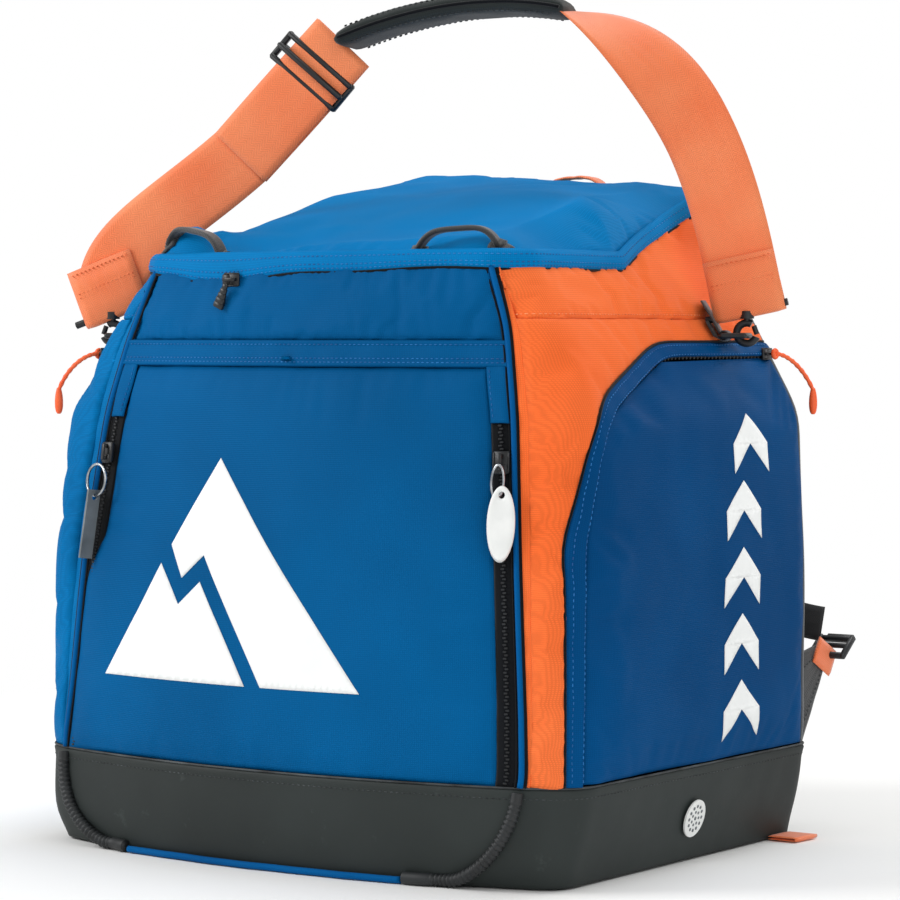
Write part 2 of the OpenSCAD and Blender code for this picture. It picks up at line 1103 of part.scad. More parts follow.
base_tub();
base_board();
front_panel();
front_band();
front_yoke();
front_lining();
front_zips();
seam_piping();
bottom_piping();
corner_guards();
side_panel_right();
side_panel_left();
door_zip_right();
door_zip_left();
door_flap_right();
door_flap_left();
door_panel_right();
door_panel_left();
door_slider_right();
door_slider_left();
door_cord_right();
door_cord_left();
back_panel();
back_pads();
boot_dividers();
lid_zip();
lid_shell();
lid_hem();
haul_loop();
grab_loop_right();
grab_loop_left();
lid_slider();
lid_puller();
front_slider_right();
front_slider_left();
zip_tag_right();
zip_ring_left();
zip_tag_left();
side_badge();
base_tab();
ring_tabs();
clip_ring_right();
clip_ring_left();
strap_webbing_right();
strap_webbing_left();
shoulder_pad();
strap_adjuster();
hook_swivel_right();
hook_swivel_left();
snap_hook_right();
snap_hook_left();
hook_gate_right();
hook_gate_left();
harness_wings();
harness_pad_right();
harness_pad_left();
harness_webbing_right();
harness_webbing_left();
ladder_lock_right();
ladder_lock_left();
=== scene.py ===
"""The looks of a ski boot bag: sewn fabric panels, zips, webbing and moulded hardware.

Lengths are in millimetres inside the helper functions and turn into metres in finish_mesh().
Frame: origin at the centre of the underside, +Z up, +X to the right of the front, front at -Y.
"""

import math

import bpy
import numpy as np
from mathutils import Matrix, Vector, geometry, noise
from mathutils.bvhtree import BVHTree


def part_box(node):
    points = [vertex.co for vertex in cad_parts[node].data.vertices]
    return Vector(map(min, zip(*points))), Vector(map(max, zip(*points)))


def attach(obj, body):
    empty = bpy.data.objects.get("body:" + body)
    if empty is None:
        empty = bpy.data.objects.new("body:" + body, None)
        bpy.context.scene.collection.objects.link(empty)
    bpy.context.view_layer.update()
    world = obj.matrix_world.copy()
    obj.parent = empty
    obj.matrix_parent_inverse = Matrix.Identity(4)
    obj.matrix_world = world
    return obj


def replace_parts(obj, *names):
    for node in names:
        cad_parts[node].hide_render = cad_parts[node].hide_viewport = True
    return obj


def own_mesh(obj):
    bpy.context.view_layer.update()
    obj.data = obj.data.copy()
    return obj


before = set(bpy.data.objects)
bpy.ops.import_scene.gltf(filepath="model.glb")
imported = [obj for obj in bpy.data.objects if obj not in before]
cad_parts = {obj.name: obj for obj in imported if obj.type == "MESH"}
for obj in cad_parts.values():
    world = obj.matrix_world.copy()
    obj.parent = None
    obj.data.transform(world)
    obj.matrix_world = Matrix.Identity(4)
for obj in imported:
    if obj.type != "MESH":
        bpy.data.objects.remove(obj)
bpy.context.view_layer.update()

MM = 0.001

# ---- The body's form, the same as the frame's ----

# Plan outline rows: height, half width, front seam half width, front seam y, crown of the front,
# y of the rounded side shoulder and the shoulder's radius.
ROWS = np.array([
    [0, 212, 131, -179, 10, -136, 20],
    [16, 218, 174, -180, 16, -144, 26],
    [40, 224, 190, -176.5, 22, -136, 32],
    [66, 227, 198, -171, 26, -132, 34],
    [200, 228, 187, -156, 26, -130, 26],
    [300, 223, 176, -143, 24, -121, 22],
    [357, 190, 163, -137, 18, -111, 24],
    [400, 163, 145, -133, 14, -104, 20],
    [412, 154, 139, -129, 12, -102, 18],
], float)
SEAM_R, BACK_INSET, BACK_R, BACK_Y = 8, 18, 20, 168
BASE_H, RIM_Z, RIM_SLOPE = 66, 398, 0.348
DOOR_FOOT, DOOR_FLOOR, DOOR_TOP, DOOR_ROUND = 141, 68, 335, 53
# Circles that round the right door's outline: y, z and radius.
DOOR_CIRCLES = ((-88, 210, 50), (-78, 262, 45), (4, DOOR_TOP - DOOR_ROUND, DOOR_ROUND))
DOOR_CUT = {1: 150, -1: 107}
DOOR_SHIFT = {1: 0, -1: -18}
LANE, FLAP = 9, 4.5
ZIP_INSET, ZIP_HALF, ZIP_TOP = 11, 7.5, 300
BAND = (333, 350)
YOKE_Z = 364

heights = np.arange(0.0, 471.0, 2.0)


def smooth_rows():
    """The outline rows at every height, rounded where the straight runs meet."""
    kernel = np.hanning(25)
    kernel /= kernel.sum()
    columns = []
    for k in range(1, ROWS.shape[1]):
        line = np.interp(heights, ROWS[:, 0], ROWS[:, k])
        columns.append(np.convolve(np.pad(line, 12, mode="edge"), kernel, mode="valid"))
    return np.array(columns).T


def outline(row):
    """The right half of a plan outline, from the middle of the front to the middle of the back."""
    half_w, seam_w, seam_y, crown, shoulder_y, shoulder_r = row
    t = np.linspace(0, 1, 13)
    x = np.r_[t * (seam_w - SEAM_R), half_w - shoulder_r, half_w - BACK_INSET - BACK_R]
    y = np.r_[seam_y - crown * (1 - t * t) + SEAM_R, shoulder_y, BACK_Y - BACK_R]
    r = np.r_[np.full(13, SEAM_R), shoulder_r, BACK_R]
    angle = np.linspace(-math.pi / 2, math.pi / 2, 721)
    c, s = np.cos(angle), np.sin(angle)
    best = np.argmax(np.outer(c, x) + np.outer(s, y) + r, axis=1)
    return x[best] + r[best] * c, y[best] + r[best] * s


front_x = np.arange(0.0, 200.0, 2.0)
side_y = np.arange(-200.0, 168.1, 2.0)
level_rows = smooth_rows()
FRONT, SIDE = [], []
for level in level_rows:
    ox, oy = outline(level)
    widest = int(np.argmax(ox))
    FRONT.append(np.interp(front_x, ox[: widest + 1], oy[: widest + 1]))
    SIDE.append(np.interp(side_y, oy, ox))
FRONT, SIDE = np.array(FRONT), np.array(SIDE)


def sample(table, columns, z, c):
    """A table's value at heights z and columns c, blended between its entries."""
    i = np.clip(z / (heights[1] - heights[0]), 0, len(heights) - 1.001)
    j = np.clip((c - columns[0]) / (columns[1] - columns[0]), 0, len(columns) - 1.001)
    i0, j0 = i.astype(int), j.astype(int)
    fi, fj = i - i0, j - j0
    low = table[i0, j0] * (1 - fj) + table[i0, j0 + 1] * fj
    high = table[i0 + 1, j0] * (1 - fj) + table[i0 + 1, j0 + 1] * fj
    return low * (1 - fi) + high * fi


def front_at(x, z):
    x, z = np.broadcast_arrays(np.asarray(x, float), np.asarray(z, float))
    return np.stack([x, sample(FRONT, front_x, z, np.abs(x)), z], -1)


def side_at(side, y, z):
    y, z = np.broadcast_arrays(np.asarray(y, float), np.asarray(z, float))
    return np.stack([side * sample(SIDE, side_y, z, y), y, z], -1)


def seam_x(z):
    return np.interp(z, heights, level_rows[:, 1])


def seam_y(z):
    return front_at(seam_x(z), z)[..., 1]


def rim(y):
    return RIM_Z + np.maximum(0, y) * RIM_SLOPE


def smooth(low, high, t):
    t = np.clip((np.asarray(t, float) - low) / (high - low), 0, 1)
    return t * t * (3 - 2 * t)


def grid(us, vs):
    """Two arrays that pair every us with every vs."""
    return np.meshgrid(us, vs, indexing="ij")


def normals(p):
    """Unit normals of a grid of points, square to both of its directions."""
    n = np.cross(np.gradient(p, axis=0), np.gradient(p, axis=1))
    return n / np.maximum(np.linalg.norm(n, axis=-1, keepdims=True), 1e-9)


def rumple(p, scale, height, seed=0.0):
    """Seeded soft unevenness at each point, between plus and minus height."""
    flat = p.reshape(-1, 3) / scale
    values = [noise.noise(Vector((q[0] + seed, q[1] - seed, q[2] + 2 * seed))) for q in flat]
    return height * np.array(values).reshape(p.shape[:-1])


def fold(p, start, end, width, height):
    """A soft ridge (or a dent, with a negative height) that runs from start to end and fades out."""
    a, b = np.array(start, float), np.array(end, float)
    d = b - a
    t = np.clip(((p - a) @ d) / (d @ d), 0, 1)
    gap = np.linalg.norm(p - (a + t[..., None] * d), axis=-1)
    return height * np.sin(math.pi * np.clip(t, 0.02, 0.98)) ** 0.7 * np.exp(-((gap / width) ** 2))


# ---- Meshes ----

def finish_mesh(name, verts, faces, uvs, material, body, slot, shade=True):
    """Makes an object from millimetre points and lets it ride on a body."""
    mesh = bpy.data.meshes.new(name)
    mesh.from_pydata((np.asarray(verts, float) * MM).tolist(), [], [list(map(int, f)) for f in faces])
    if uvs is not None:
        layer = mesh.uv_layers.new(name="UVMap")
        loops = np.zeros(len(mesh.loops), int)
        mesh.loops.foreach_get("vertex_index", loops)
        layer.data.foreach_set("uv", (np.asarray(uvs, float)[loops] * MM).ravel())
    mesh.materials.append(material)
    mesh.polygons.foreach_set("use_smooth", [shade] * len(mesh.polygons))
    mesh.update()
    obj = bpy.data.objects.new(name, mesh)
    bpy.context.scene.collection.objects.link(obj)
    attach(obj, body)
    return obj


def grid_uv(p):
    """Lengths along both directions of a grid, so that a weave keeps its size."""
    du = np.linalg.norm(np.diff(p, axis=0), axis=-1).mean(axis=1)
    dv = np.linalg.norm(np.diff(p, axis=1), axis=-1).mean(axis=0)
    u = np.r_[0, np.cumsum(du)]
    v = np.r_[0, np.cumsum(dv)]
    uu, vv = grid(u, v)
    return np.stack([uu, vv], -1).reshape(-1, 2)


def grid_faces(n, m, close=False):
    faces = []
    for i in range(n if close else n - 1):
        k = (i + 1) % n
        for j in range(m - 1):
            faces.append((i * m + j, k * m + j, k * m + j + 1, i * m + j + 1))
    return faces


def sheet(name, p, material, body, slot, thick=2.0, uv=None, flip=False, close=False):
    """A fabric sheet from a grid of outer points, thickened inwards. Normals must point out."""
    faces = grid_faces(p.shape[0], p.shape[1], close)
    if flip:
        faces = [f[::-1] for f in faces]
    uvs = grid_uv(p) if uv is None else uv.reshape(-1, 2)
    obj = finish_mesh(name, p.reshape(-1, 3), faces, uvs, material, body, slot)
    if thick:
        solid = obj.modifiers.new("cloth_thickness", "SOLIDIFY")
        solid.thickness = thick * MM
        solid.offset = -1
        solid.use_rim = True
    return obj


def frames(path, guide):
    """Tangent, across and up directions along a path; across stays square to guide."""
    t = np.gradient(path, axis=0)
    t /= np.linalg.norm(t, axis=1, keepdims=True)
    across = np.cross(np.broadcast_to(np.asarray(guide, float), t.shape), t)
    across /= np.maximum(np.linalg.norm(across, axis=1, keepdims=True), 1e-9)
    return t, across, np.cross(t, across)


def tube_parts(path, radius, guide=(0, 0, 1), corners=10, close=False):
    """Points, faces and UVs of a round cord. radius may vary along the path."""
    path = np.asarray(path, float)
    if close:
        t = np.roll(path, -1, 0) - np.roll(path, 1, 0)
        t /= np.linalg.norm(t, axis=1, keepdims=True)
        a = np.cross(np.broadcast_to(np.asarray(guide, float), t.shape), t)
        a /= np.linalg.norm(a, axis=1, keepdims=True)
        b = np.cross(t, a)
    else:
        t, a, b = frames(path, guide)
    r = np.broadcast_to(np.asarray(radius, float), len(path))
    angle = np.linspace(0, 2 * math.pi, corners, endpoint=False)
    ring = np.cos(angle)[None, :, None] * a[:, None] + np.sin(angle)[None, :, None] * b[:, None]
    verts = (path[:, None] + ring * r[:, None, None]).reshape(-1, 3)
    n = len(path)
    faces = []
    for i in range(n if close else n - 1):
        k = (i + 1) % n
        for j in range(corners):
            h = (j + 1) % corners
            faces.append((i * corners + j, i * corners + h, k * corners + h, k * corners + j))
    if not close:
        faces.append(tuple(range(corners))[::-1])
        faces.append(tuple((n - 1) * corners + j for j in range(corners)))
    length = np.r_[0, np.cumsum(np.linalg.norm(np.diff(path, axis=0), axis=1))]
    uu, vv = grid(length, angle * r.mean())
    return verts, faces, np.stack([uu, vv], -1).reshape(-1, 2)


def joined(parts):
    """Several (points, faces, uvs) sets as one."""
    verts, faces, uvs, base = [], [], [], 0
    for v, f, u in parts:
        verts.append(np.asarray(v, float))
        uvs.append(np.zeros((len(v), 2)) if u is None else u)
        faces += [tuple(i + base for i in q) for q in f]
        base += len(v)
    return np.vstack(verts), faces, np.vstack(uvs)


def tube(name, path, radius, material, body, slot, guide=(0, 0, 1), corners=10, close=False):
    verts, faces, uvs = tube_parts(path, radius, guide, corners, close)
    return finish_mesh(name, verts, faces, uvs, material, body, slot)


def band_parts(path, across, width, thick, ribs=7):
    """A webbing band: a row of points across each path point, both faces and rounded edges."""
    path, across = np.asarray(path, float), np.asarray(across, float)
    t = np.gradient(path, axis=0)
    t /= np.linalg.norm(t, axis=1, keepdims=True)
    face = np.cross(t, across)
    face /= np.linalg.norm(face, axis=1, keepdims=True)
    w = np.linspace(-1, 1, ribs)
    edge = np.sqrt(np.maximum(0.08, 1 - np.abs(w) ** 8))
    loop_w = np.r_[w, w[::-1]] * width / 2
    loop_h = np.r_[edge, -edge[::-1]] * thick / 2
    verts = (path[:, None] + across[:, None] * loop_w[None, :, None]
             + face[:, None] * loop_h[None, :, None])
    m = 2 * ribs
    n = len(path)
    faces = []
    for i in range(n - 1):
        for j in range(m):
            h = (j + 1) % m
            faces.append((i * m + j, (i + 1) * m + j, (i + 1) * m + h, i * m + h))
    faces.append(tuple(range(m)))
    faces.append(tuple((n - 1) * m + j for j in range(m))[::-1])
    length = np.r_[0, np.cumsum(np.linalg.norm(np.diff(path, axis=0), axis=1))]
    uu, vv = grid(length, loop_w)
    return verts.reshape(-1, 3), faces, np.stack([uu, vv], -1).reshape(-1, 2)


def band(name, path, across, width, thick, material, body, slot, ribs=9):
    verts, faces, uvs = band_parts(path, across, width, thick, ribs)
    return finish_mesh(name, verts, faces, uvs, material, body, slot)


def box_parts(size, centre=(0, 0, 0), bevel=0.8, turn=None):
    """A block with chamfered edges, turned and then put at its centre."""
    half = np.array(size, float) / 2
    b = min(bevel, half.min() * 0.6)
    verts, index = [], {}
    for sx in (-1, 1):
        for sy in (-1, 1):
            for sz in (-1, 1):
                s = np.array([sx, sy, sz])
                for axis in range(3):
                    corner = s * (half - b)
                    corner[axis] = s[axis] * half[axis]
                    index[sx, sy, sz, axis] = len(verts)
                    verts.append(corner)
    faces = []
    for axis in range(3):
        u, v = [(1, 2), (2, 0), (0, 1)][axis]
        for s in (-1, 1):
            loop = []
            for a, c in ((-1, -1), (1, -1), (1, 1), (-1, 1)):
                key = [0, 0, 0]
                key[axis], key[u], key[v] = s, a, c
                loop.append(index[key[0], key[1], key[2], axis])
            faces.append(tuple(loop if s > 0 else loop[::-1]))
        for a in (-1, 1):
            for c in (-1, 1):
                keys = []
                for s in (-1, 1):
                    key = [0, 0, 0]
                    key[axis], key[u], key[v] = s, a, c
                    keys.append(tuple(key))
                quad = (index[keys[0] + (u,)], index[keys[1] + (u,)],
                        index[keys[1] + (v,)], index[keys[0] + (v,)])
                faces.append(quad if a * c < 0 else quad[::-1])
    for sx in (-1, 1):
        for sy in (-1, 1):
            for sz in (-1, 1):
                tri = tuple(index[sx, sy, sz, k] for k in range(3))
                faces.append(tri if sx * sy * sz > 0 else tri[::-1])
    verts = np.array(verts)
    if turn is not None:
        verts = verts @ np.array(turn).T
    return verts + np.array(centre, float), faces, None


def turned(axis, degrees):
    """A rotation matrix about an axis."""
    k = np.array(axis, float) / np.linalg.norm(axis)
    c, s = math.cos(math.radians(degrees)), math.sin(math.radians(degrees))
    cross = np.array([[0, -k[2], k[1]], [k[2], 0, -k[0]], [-k[1], k[0], 0]])
    return np.eye(3) * c + s * cross + (1 - c) * np.outer(k, k)


def placed(parts, matrix, offset):
    v, f, u = parts
    return np.asarray(v) @ np.array(matrix).T + np.array(offset, float), f, u


def bezier(a, b, c, d, steps):
    t = np.linspace(0, 1, steps + 1)[:, None]
    a, b, c, d = (np.array(q, float) for q in (a, b, c, d))
    return a * (1 - t) ** 3 + 3 * b * (1 - t) ** 2 * t + 3 * c * (1 - t) * t * t + d * t ** 3


# ---- Cloth ----

def draped(p, loose, press, cap, seed, pin_edges=(1, 1, 1, 1), steps=14):
    """Settles a grid of fabric that is loose by a share of its size and pushed out by air.

    Its pinned edges hold still, and no point moves further than cap.
    """
    n, m = p.shape[:2]
    mesh = bpy.data.meshes.new("drape")
    start = p + normals(p) * rumple(p, 24, 0.8, seed)[..., None]
    mesh.from_pydata((start.reshape(-1, 3) * MM * 10).tolist(), [], grid_faces(n, m))
    obj = bpy.data.objects.new("drape", mesh)
    bpy.context.scene.collection.objects.link(obj)
    held = obj.vertex_groups.new(name="held")
    iu, iv = grid(np.arange(n), np.arange(m))
    edge = np.zeros((n, m), bool)
    for flag, place in zip(pin_edges, (iu == 0, iu == n - 1, iv == 0, iv == m - 1)):
        edge |= place & bool(flag)
    held.add([int(k) for k in np.flatnonzero(edge.ravel())], 1.0, "REPLACE")
    cloth = obj.modifiers.new("cloth", "CLOTH")
    settings = cloth.settings
    settings.vertex_group_mass = "held"
    settings.quality = 5
    settings.mass = 0.3
    settings.tension_stiffness = settings.compression_stiffness = 25
    settings.shear_stiffness = 12
    settings.bending_stiffness = 1.2
    settings.shrink_min = -loose
    settings.effector_weights.gravity = 0
    settings.use_pressure = True
    settings.uniform_pressure_force = press
    cloth.collision_settings.use_self_collision = False
    scene = bpy.context.scene
    cloth.point_cache.frame_start, cloth.point_cache.frame_end = 1, steps
    for step in range(1, steps + 1):
        scene.frame_set(step)
    settled = obj.evaluated_get(bpy.context.evaluated_depsgraph_get()).to_mesh()
    co = np.zeros(n * m * 3, np.float32)
    settled.vertices.foreach_get("co", co)
    moved = co.reshape(n, m, 3).astype(float) / (MM * 10) - p
    bpy.data.objects.remove(obj)
    bpy.data.meshes.remove(mesh)
    scene.frame_set(1)
    if not np.isfinite(moved).all():
        return p
    length = np.linalg.norm(moved, axis=-1, keepdims=True)
    return p + moved * np.minimum(1, cap / np.maximum(length, 1e-9))


def sewn_edge(p, depth=1.4, reach=3, edges=(1, 1, 1, 1)):
    """Turns the edges of a panel inwards, as a seam pulls them."""
    n, m = p.shape[:2]
    iu, iv = grid(np.arange(n), np.arange(m))
    gaps = []
    for flag, place in zip(edges, (iu, n - 1 - iu, iv, m - 1 - iv)):
        if flag:
            gaps.append(place)
    gap = np.min(gaps, axis=0)
    return p - normals(p) * (depth * np.exp(-((gap / reach) ** 2)))[..., None]


# ---- Materials ----

def node_kit(name):
    """A new material with its principled shader and a function that adds nodes."""
    material = bpy.data.materials.new(name)
    material.use_nodes = True
    tree = material.node_tree
    shader = tree.nodes["Principled BSDF"]

    def add(kind, **values):
        node = tree.nodes.new("ShaderNode" + kind)
        for key, value in values.items():
            if hasattr(node, key) and key not in [i.name for i in node.inputs]:
                setattr(node, key, value)
            else:
                node.inputs[key.replace("_", " ") if isinstance(key, str) else key].default_value = value
        return node

    def link(a, b):
        tree.links.new(a, b)

    return material, shader, add, link


def hex_rgb(text):
    """A linear colour from an sRGB hex colour."""
    srgb = [int(text[i:i + 2], 16) / 255 for i in (0, 2, 4)]
    return tuple(c / 12.92 if c <= 0.04045 else ((c + 0.055) / 1.055) ** 2.4 for c in srgb) + (1,)


def tone(add, link, dark, light, vector, scale, detail=3):
    """Slow variation between two colours."""
    texture = add("TexNoise", Scale=scale, Detail=detail)
    link(vector, texture.inputs["Vector"])
    ramp = add("ValToRGB")
    ramp.color_ramp.elements[0].position, ramp.color_ramp.elements[0].color = 0.35, hex_rgb(dark)
    ramp.color_ramp.elements[1].position, ramp.color_ramp.elements[1].color = 0.68, hex_rgb(light)
    link(texture.outputs["Fac"], ramp.inputs["Fac"])
    return ramp.outputs["Color"]


def mixed(add, link, a, b, factor, mode="MIX"):
    node = add("MixRGB", blend_type=mode)
    for socket, value in (("Color1", a), ("Color2", b), ("Fac", factor)):
        if isinstance(value, (int, float, tuple)):
            node.inputs[socket].default_value = value
        else:
            link(value, node.inputs[socket])
    return node.outputs["Color"]


def threads(add, link, uv, period, direction):
    """Rounded threads a period apart, running square to the given direction of the UV map."""
    wave = add("TexWave", wave_type="BANDS", bands_direction=direction, wave_profile="SIN",
               Scale=2 * math.pi / 20 / (period * MM), Distortion=0.35, Detail=1.0)
    wave.inputs["Detail Scale"].default_value = 2.0
    link(uv, wave.inputs["Vector"])
    return wave.outputs["Fac"]


def woven(name, dark, light, period=1.3, rough=0.62, sheen=0.35, depth=0.25, tint="ffffff"):
    """Plain woven polyester: crossing threads with painted shade between them and painted highlight on their tops,
    fine fuzz and a slow change of tone.
    """
    material, shader, add, link = node_kit(name)
    uv = add("TexCoord").outputs["UV"]
    place = add("TexCoord").outputs["Object"]
    base = tone(add, link, dark, light, place, 5.5)
    warp = threads(add, link, uv, period, "X")
    weft = threads(add, link, uv, period, "Y")
    cross = add("Math", operation="MULTIPLY")
    link(warp, cross.inputs[0])
    link(weft, cross.inputs[1])
    fuzz = add("TexNoise", Scale=1400.0, Detail=2.0)
    link(place, fuzz.inputs["Vector"])
    height = add("Math", operation="MULTIPLY_ADD")
    link(fuzz.outputs["Fac"], height.inputs[0])
    height.inputs[1].default_value = 0.5
    link(cross.outputs[0], height.inputs[2])
    # Darker where the threads dip and lighter (above 1) on their tops, with random fuzz mixed in: painted shade
    # and painted highlight across the weave.
    shade = add("ValToRGB")
    shade.color_ramp.elements[0].color = (0.72, 0.72, 0.72, 1)
    shade.color_ramp.elements[1].color = (1.08, 1.08, 1.08, 1)
    link(height.outputs[0], shade.inputs["Fac"])
    colour = mixed(add, link, base, shade.outputs["Color"], 0.75, "MULTIPLY")
    bump = add("Bump", Strength=depth, Distance=0.0006)
    link(height.outputs[0], bump.inputs["Height"])
    link(colour, shader.inputs["Base Color"])
    link(bump.outputs["Normal"], shader.inputs["Normal"])
    shader.inputs["Roughness"].default_value = rough
    shader.inputs["Sheen Weight"].default_value = sheen
    shader.inputs["Sheen Roughness"].default_value = 0.45
    shader.inputs["Sheen Tint"].default_value = hex_rgb(tint)
    shader.inputs["Specular IOR Level"].default_value = 0.04
    return material


def tarpaulin(name):
    """Coated tarpaulin: almost smooth, with a faint grain, soft scuffs and a dull shine."""
    material, shader, add, link = node_kit(name)
    place = add("TexCoord").outputs["Object"]
    base = tone(add, link, "262b2a", "2e3433", place, 7.0)
    grain = add("TexNoise", Scale=900.0, Detail=3.0)
    link(place, grain.inputs["Vector"])
    scuff = add("TexNoise", Scale=60.0, Detail=6.0, Roughness=0.7)
    link(place, scuff.inputs["Vector"])
    ramp = add("ValToRGB")
    ramp.color_ramp.elements[0].position, ramp.color_ramp.elements[0].color = 0.62, (0, 0, 0, 1)
    ramp.color_ramp.elements[1].position, ramp.color_ramp.elements[1].color = 0.75, (1, 1, 1, 1)
    link(scuff.outputs["Fac"], ramp.inputs["Fac"])
    worn = mixed(add, link, base, hex_rgb("3c4241"), 0.0)
    link(ramp.outputs["Color"], worn.node.inputs["Fac"])
    rough = add("MapRange")
    shader.inputs["Specular IOR Level"].default_value = 0.22
    rough.inputs["To Min"].default_value, rough.inputs["To Max"].default_value = 0.5, 0.66
    link(scuff.outputs["Fac"], rough.inputs["Value"])
    bump = add("Bump", Strength=0.12, Distance=0.0004)
    link(grain.outputs["Fac"], bump.inputs["Height"])
    link(worn, shader.inputs["Base Color"])
    link(rough.outputs["Result"], shader.inputs["Roughness"])
    link(bump.outputs["Normal"], shader.inputs["Normal"])
    return material


def webbing(name, dark, light, period=1.7):
    """Woven webbing: a herringbone of ribs that lean one way and then the other, with painted shade between the
    ribs.
    """
    material, shader, add, link = node_kit(name)
    uv = add("TexCoord").outputs["UV"]
    place = add("TexCoord").outputs["Object"]
    split = add("SeparateXYZ")
    link(uv, split.inputs[0])
    fold_back = add("Math", operation="PINGPONG")
    link(split.outputs["Y"], fold_back.inputs[0])
    fold_back.inputs[1].default_value = 4.2 * MM
    merge = add("Math", operation="ADD")
    link(split.outputs["X"], merge.inputs[0])
    link(fold_back.outputs[0], merge.inputs[1])
    phase = add("Math", operation="MULTIPLY")
    link(merge.outputs[0], phase.inputs[0])
    phase.inputs[1].default_value = 2 * math.pi / (period * MM)
    ribs = add("Math", operation="SINE")
    link(phase.outputs[0], ribs.inputs[0])
    fuzz = add("TexNoise", Scale=1500.0, Detail=2.0)
    link(place, fuzz.inputs["Vector"])
    height = add("Math", operation="MULTIPLY_ADD")
    link(ribs.outputs[0], height.inputs[0])
    height.inputs[1].default_value = 0.35
    link(fuzz.outputs["Fac"], height.inputs[2])
    base = tone(add, link, dark, light, place, 14.0)
    # Darker between the ribs and a little lighter on their crests, with random fuzz mixed in: painted shade and
    # painted highlight.
    shade = add("ValToRGB")
    shade.color_ramp.elements[0].position, shade.color_ramp.elements[0].color = 0.1, (0.7, 0.7, 0.7, 1)
    shade.color_ramp.elements[1].position, shade.color_ramp.elements[1].color = 0.9, (1.05, 1.05, 1.05, 1)
    link(height.outputs[0], shade.inputs["Fac"])
    colour = mixed(add, link, base, shade.outputs["Color"], 0.7, "MULTIPLY")
    bump = add("Bump", Strength=0.35, Distance=0.0005)
    link(height.outputs[0], bump.inputs["Height"])
    link(colour, shader.inputs["Base Color"])
    link(bump.outputs["Normal"], shader.inputs["Normal"])
    shader.inputs["Roughness"].default_value = 0.6
    shader.inputs["Sheen Weight"].default_value = 0.3
    return material


def moulded(name, dark, light, rough=0.42, grain=0.06):
    """Moulded plastic or rubber with a fine spark-eroded grain and a little uneven shine."""
    material, shader, add, link = node_kit(name)
    place = add("TexCoord").outputs["Object"]
    base = tone(add, link, dark, light, place, 40.0)
    fine = add("TexNoise", Scale=2600.0, Detail=2.0)
    link(place, fine.inputs["Vector"])
    bump = add("Bump", Strength=grain, Distance=0.0003)
    link(fine.outputs["Fac"], bump.inputs["Height"])
    spread = add("TexNoise", Scale=90.0, Detail=4.0)
    link(place, spread.inputs["Vector"])
    shine = add("MapRange")
    shine.inputs["To Min"].default_value, shine.inputs["To Max"].default_value = rough - 0.08, rough + 0.12
    link(spread.outputs["Fac"], shine.inputs["Value"])
    link(base, shader.inputs["Base Color"])
    link(bump.outputs["Normal"], shader.inputs["Normal"])
    link(shine.outputs["Result"], shader.inputs["Roughness"])
    return material


def metal(name):
    """Nickel-plated wire with fine drawn lines."""
    material, shader, add, link = node_kit(name)
    place = add("TexCoord").outputs["Object"]
    base = tone(add, link, "8d9194", "d5d8da", place, 120.0)
    lines = add("TexNoise", Scale=1800.0, Detail=3.0)
    link(place, lines.inputs["Vector"])
    bump = add("Bump", Strength=0.08, Distance=0.0002)
    link(lines.outputs["Fac"], bump.inputs["Height"])
    link(base, shader.inputs["Base Color"])
    link(bump.outputs["Normal"], shader.inputs["Normal"])
    shader.inputs["Metallic"].default_value = 1
    shader.inputs["Roughness"].default_value = 0.28
    return material


def mesh_fabric(name, dark, light, cell=3.2):
    """Air mesh over foam: a lattice of round holes in knitted fabric, with painted shade in the holes."""
    material, shader, add, link = node_kit(name)
    uv = add("TexCoord").outputs["UV"]
    place = add("TexCoord").outputs["Object"]
    cells = add("TexVoronoi", feature="F1", Scale=1 / (cell * MM), Randomness=0.12)
    link(uv, cells.inputs["Vector"])
    # The holes are multiplied down towards 0.18 of the cloth's colour: painted shade down in the holes over the
    # foam.
    ramp = add("ValToRGB")
    ramp.color_ramp.elements[0].position, ramp.color_ramp.elements[0].color = 0.22, (0.18, 0.18, 0.18, 1)
    ramp.color_ramp.elements[1].position, ramp.color_ramp.elements[1].color = 0.42, (1, 1, 1, 1)
    link(cells.outputs["Distance"], ramp.inputs["Fac"])
    base = tone(add, link, dark, light, place, 12.0)
    colour = mixed(add, link, base, ramp.outputs["Color"], 0.9, "MULTIPLY")
    bump = add("Bump", Strength=0.6, Distance=0.0012)
    link(ramp.outputs["Color"], bump.inputs["Height"])
    link(colour, shader.inputs["Base Color"])
    link(bump.outputs["Normal"], shader.inputs["Normal"])
    shader.inputs["Roughness"].default_value = 0.85
    shader.inputs["Sheen Weight"].default_value = 0.25
    return material


def floor_material(name):
    """A pale matt floor that fades into the white backdrop away from the object."""
    material, shader, add, link = node_kit(name)
    place = add("TexCoord").outputs["Object"]
    link(tone(add, link, "f4f4f2", "fafaf9", place, 1.5), shader.inputs["Base Color"])
    shader.inputs["Roughness"].default_value = 0.8
    far = add("VectorMath", operation="LENGTH")
    link(place, far.inputs[0])
    fade = add("MapRange")
    fade.inputs["From Min"].default_value, fade.inputs["From Max"].default_value = 0.45, 1.1
    link(far.outputs["Value"], fade.inputs["Value"])
    white = add("Emission", Strength=1.0)
    white.inputs["Color"].default_value = (1, 1, 1, 1)
    mix = add("MixShader")
    link(fade.outputs["Result"], mix.inputs["Fac"])
    link(shader.outputs["BSDF"], mix.inputs[1])
    link(white.outputs["Emission"], mix.inputs[2])
    link(mix.outputs["Shader"], material.node_tree.nodes["Material Output"].inputs["Surface"])
    return material


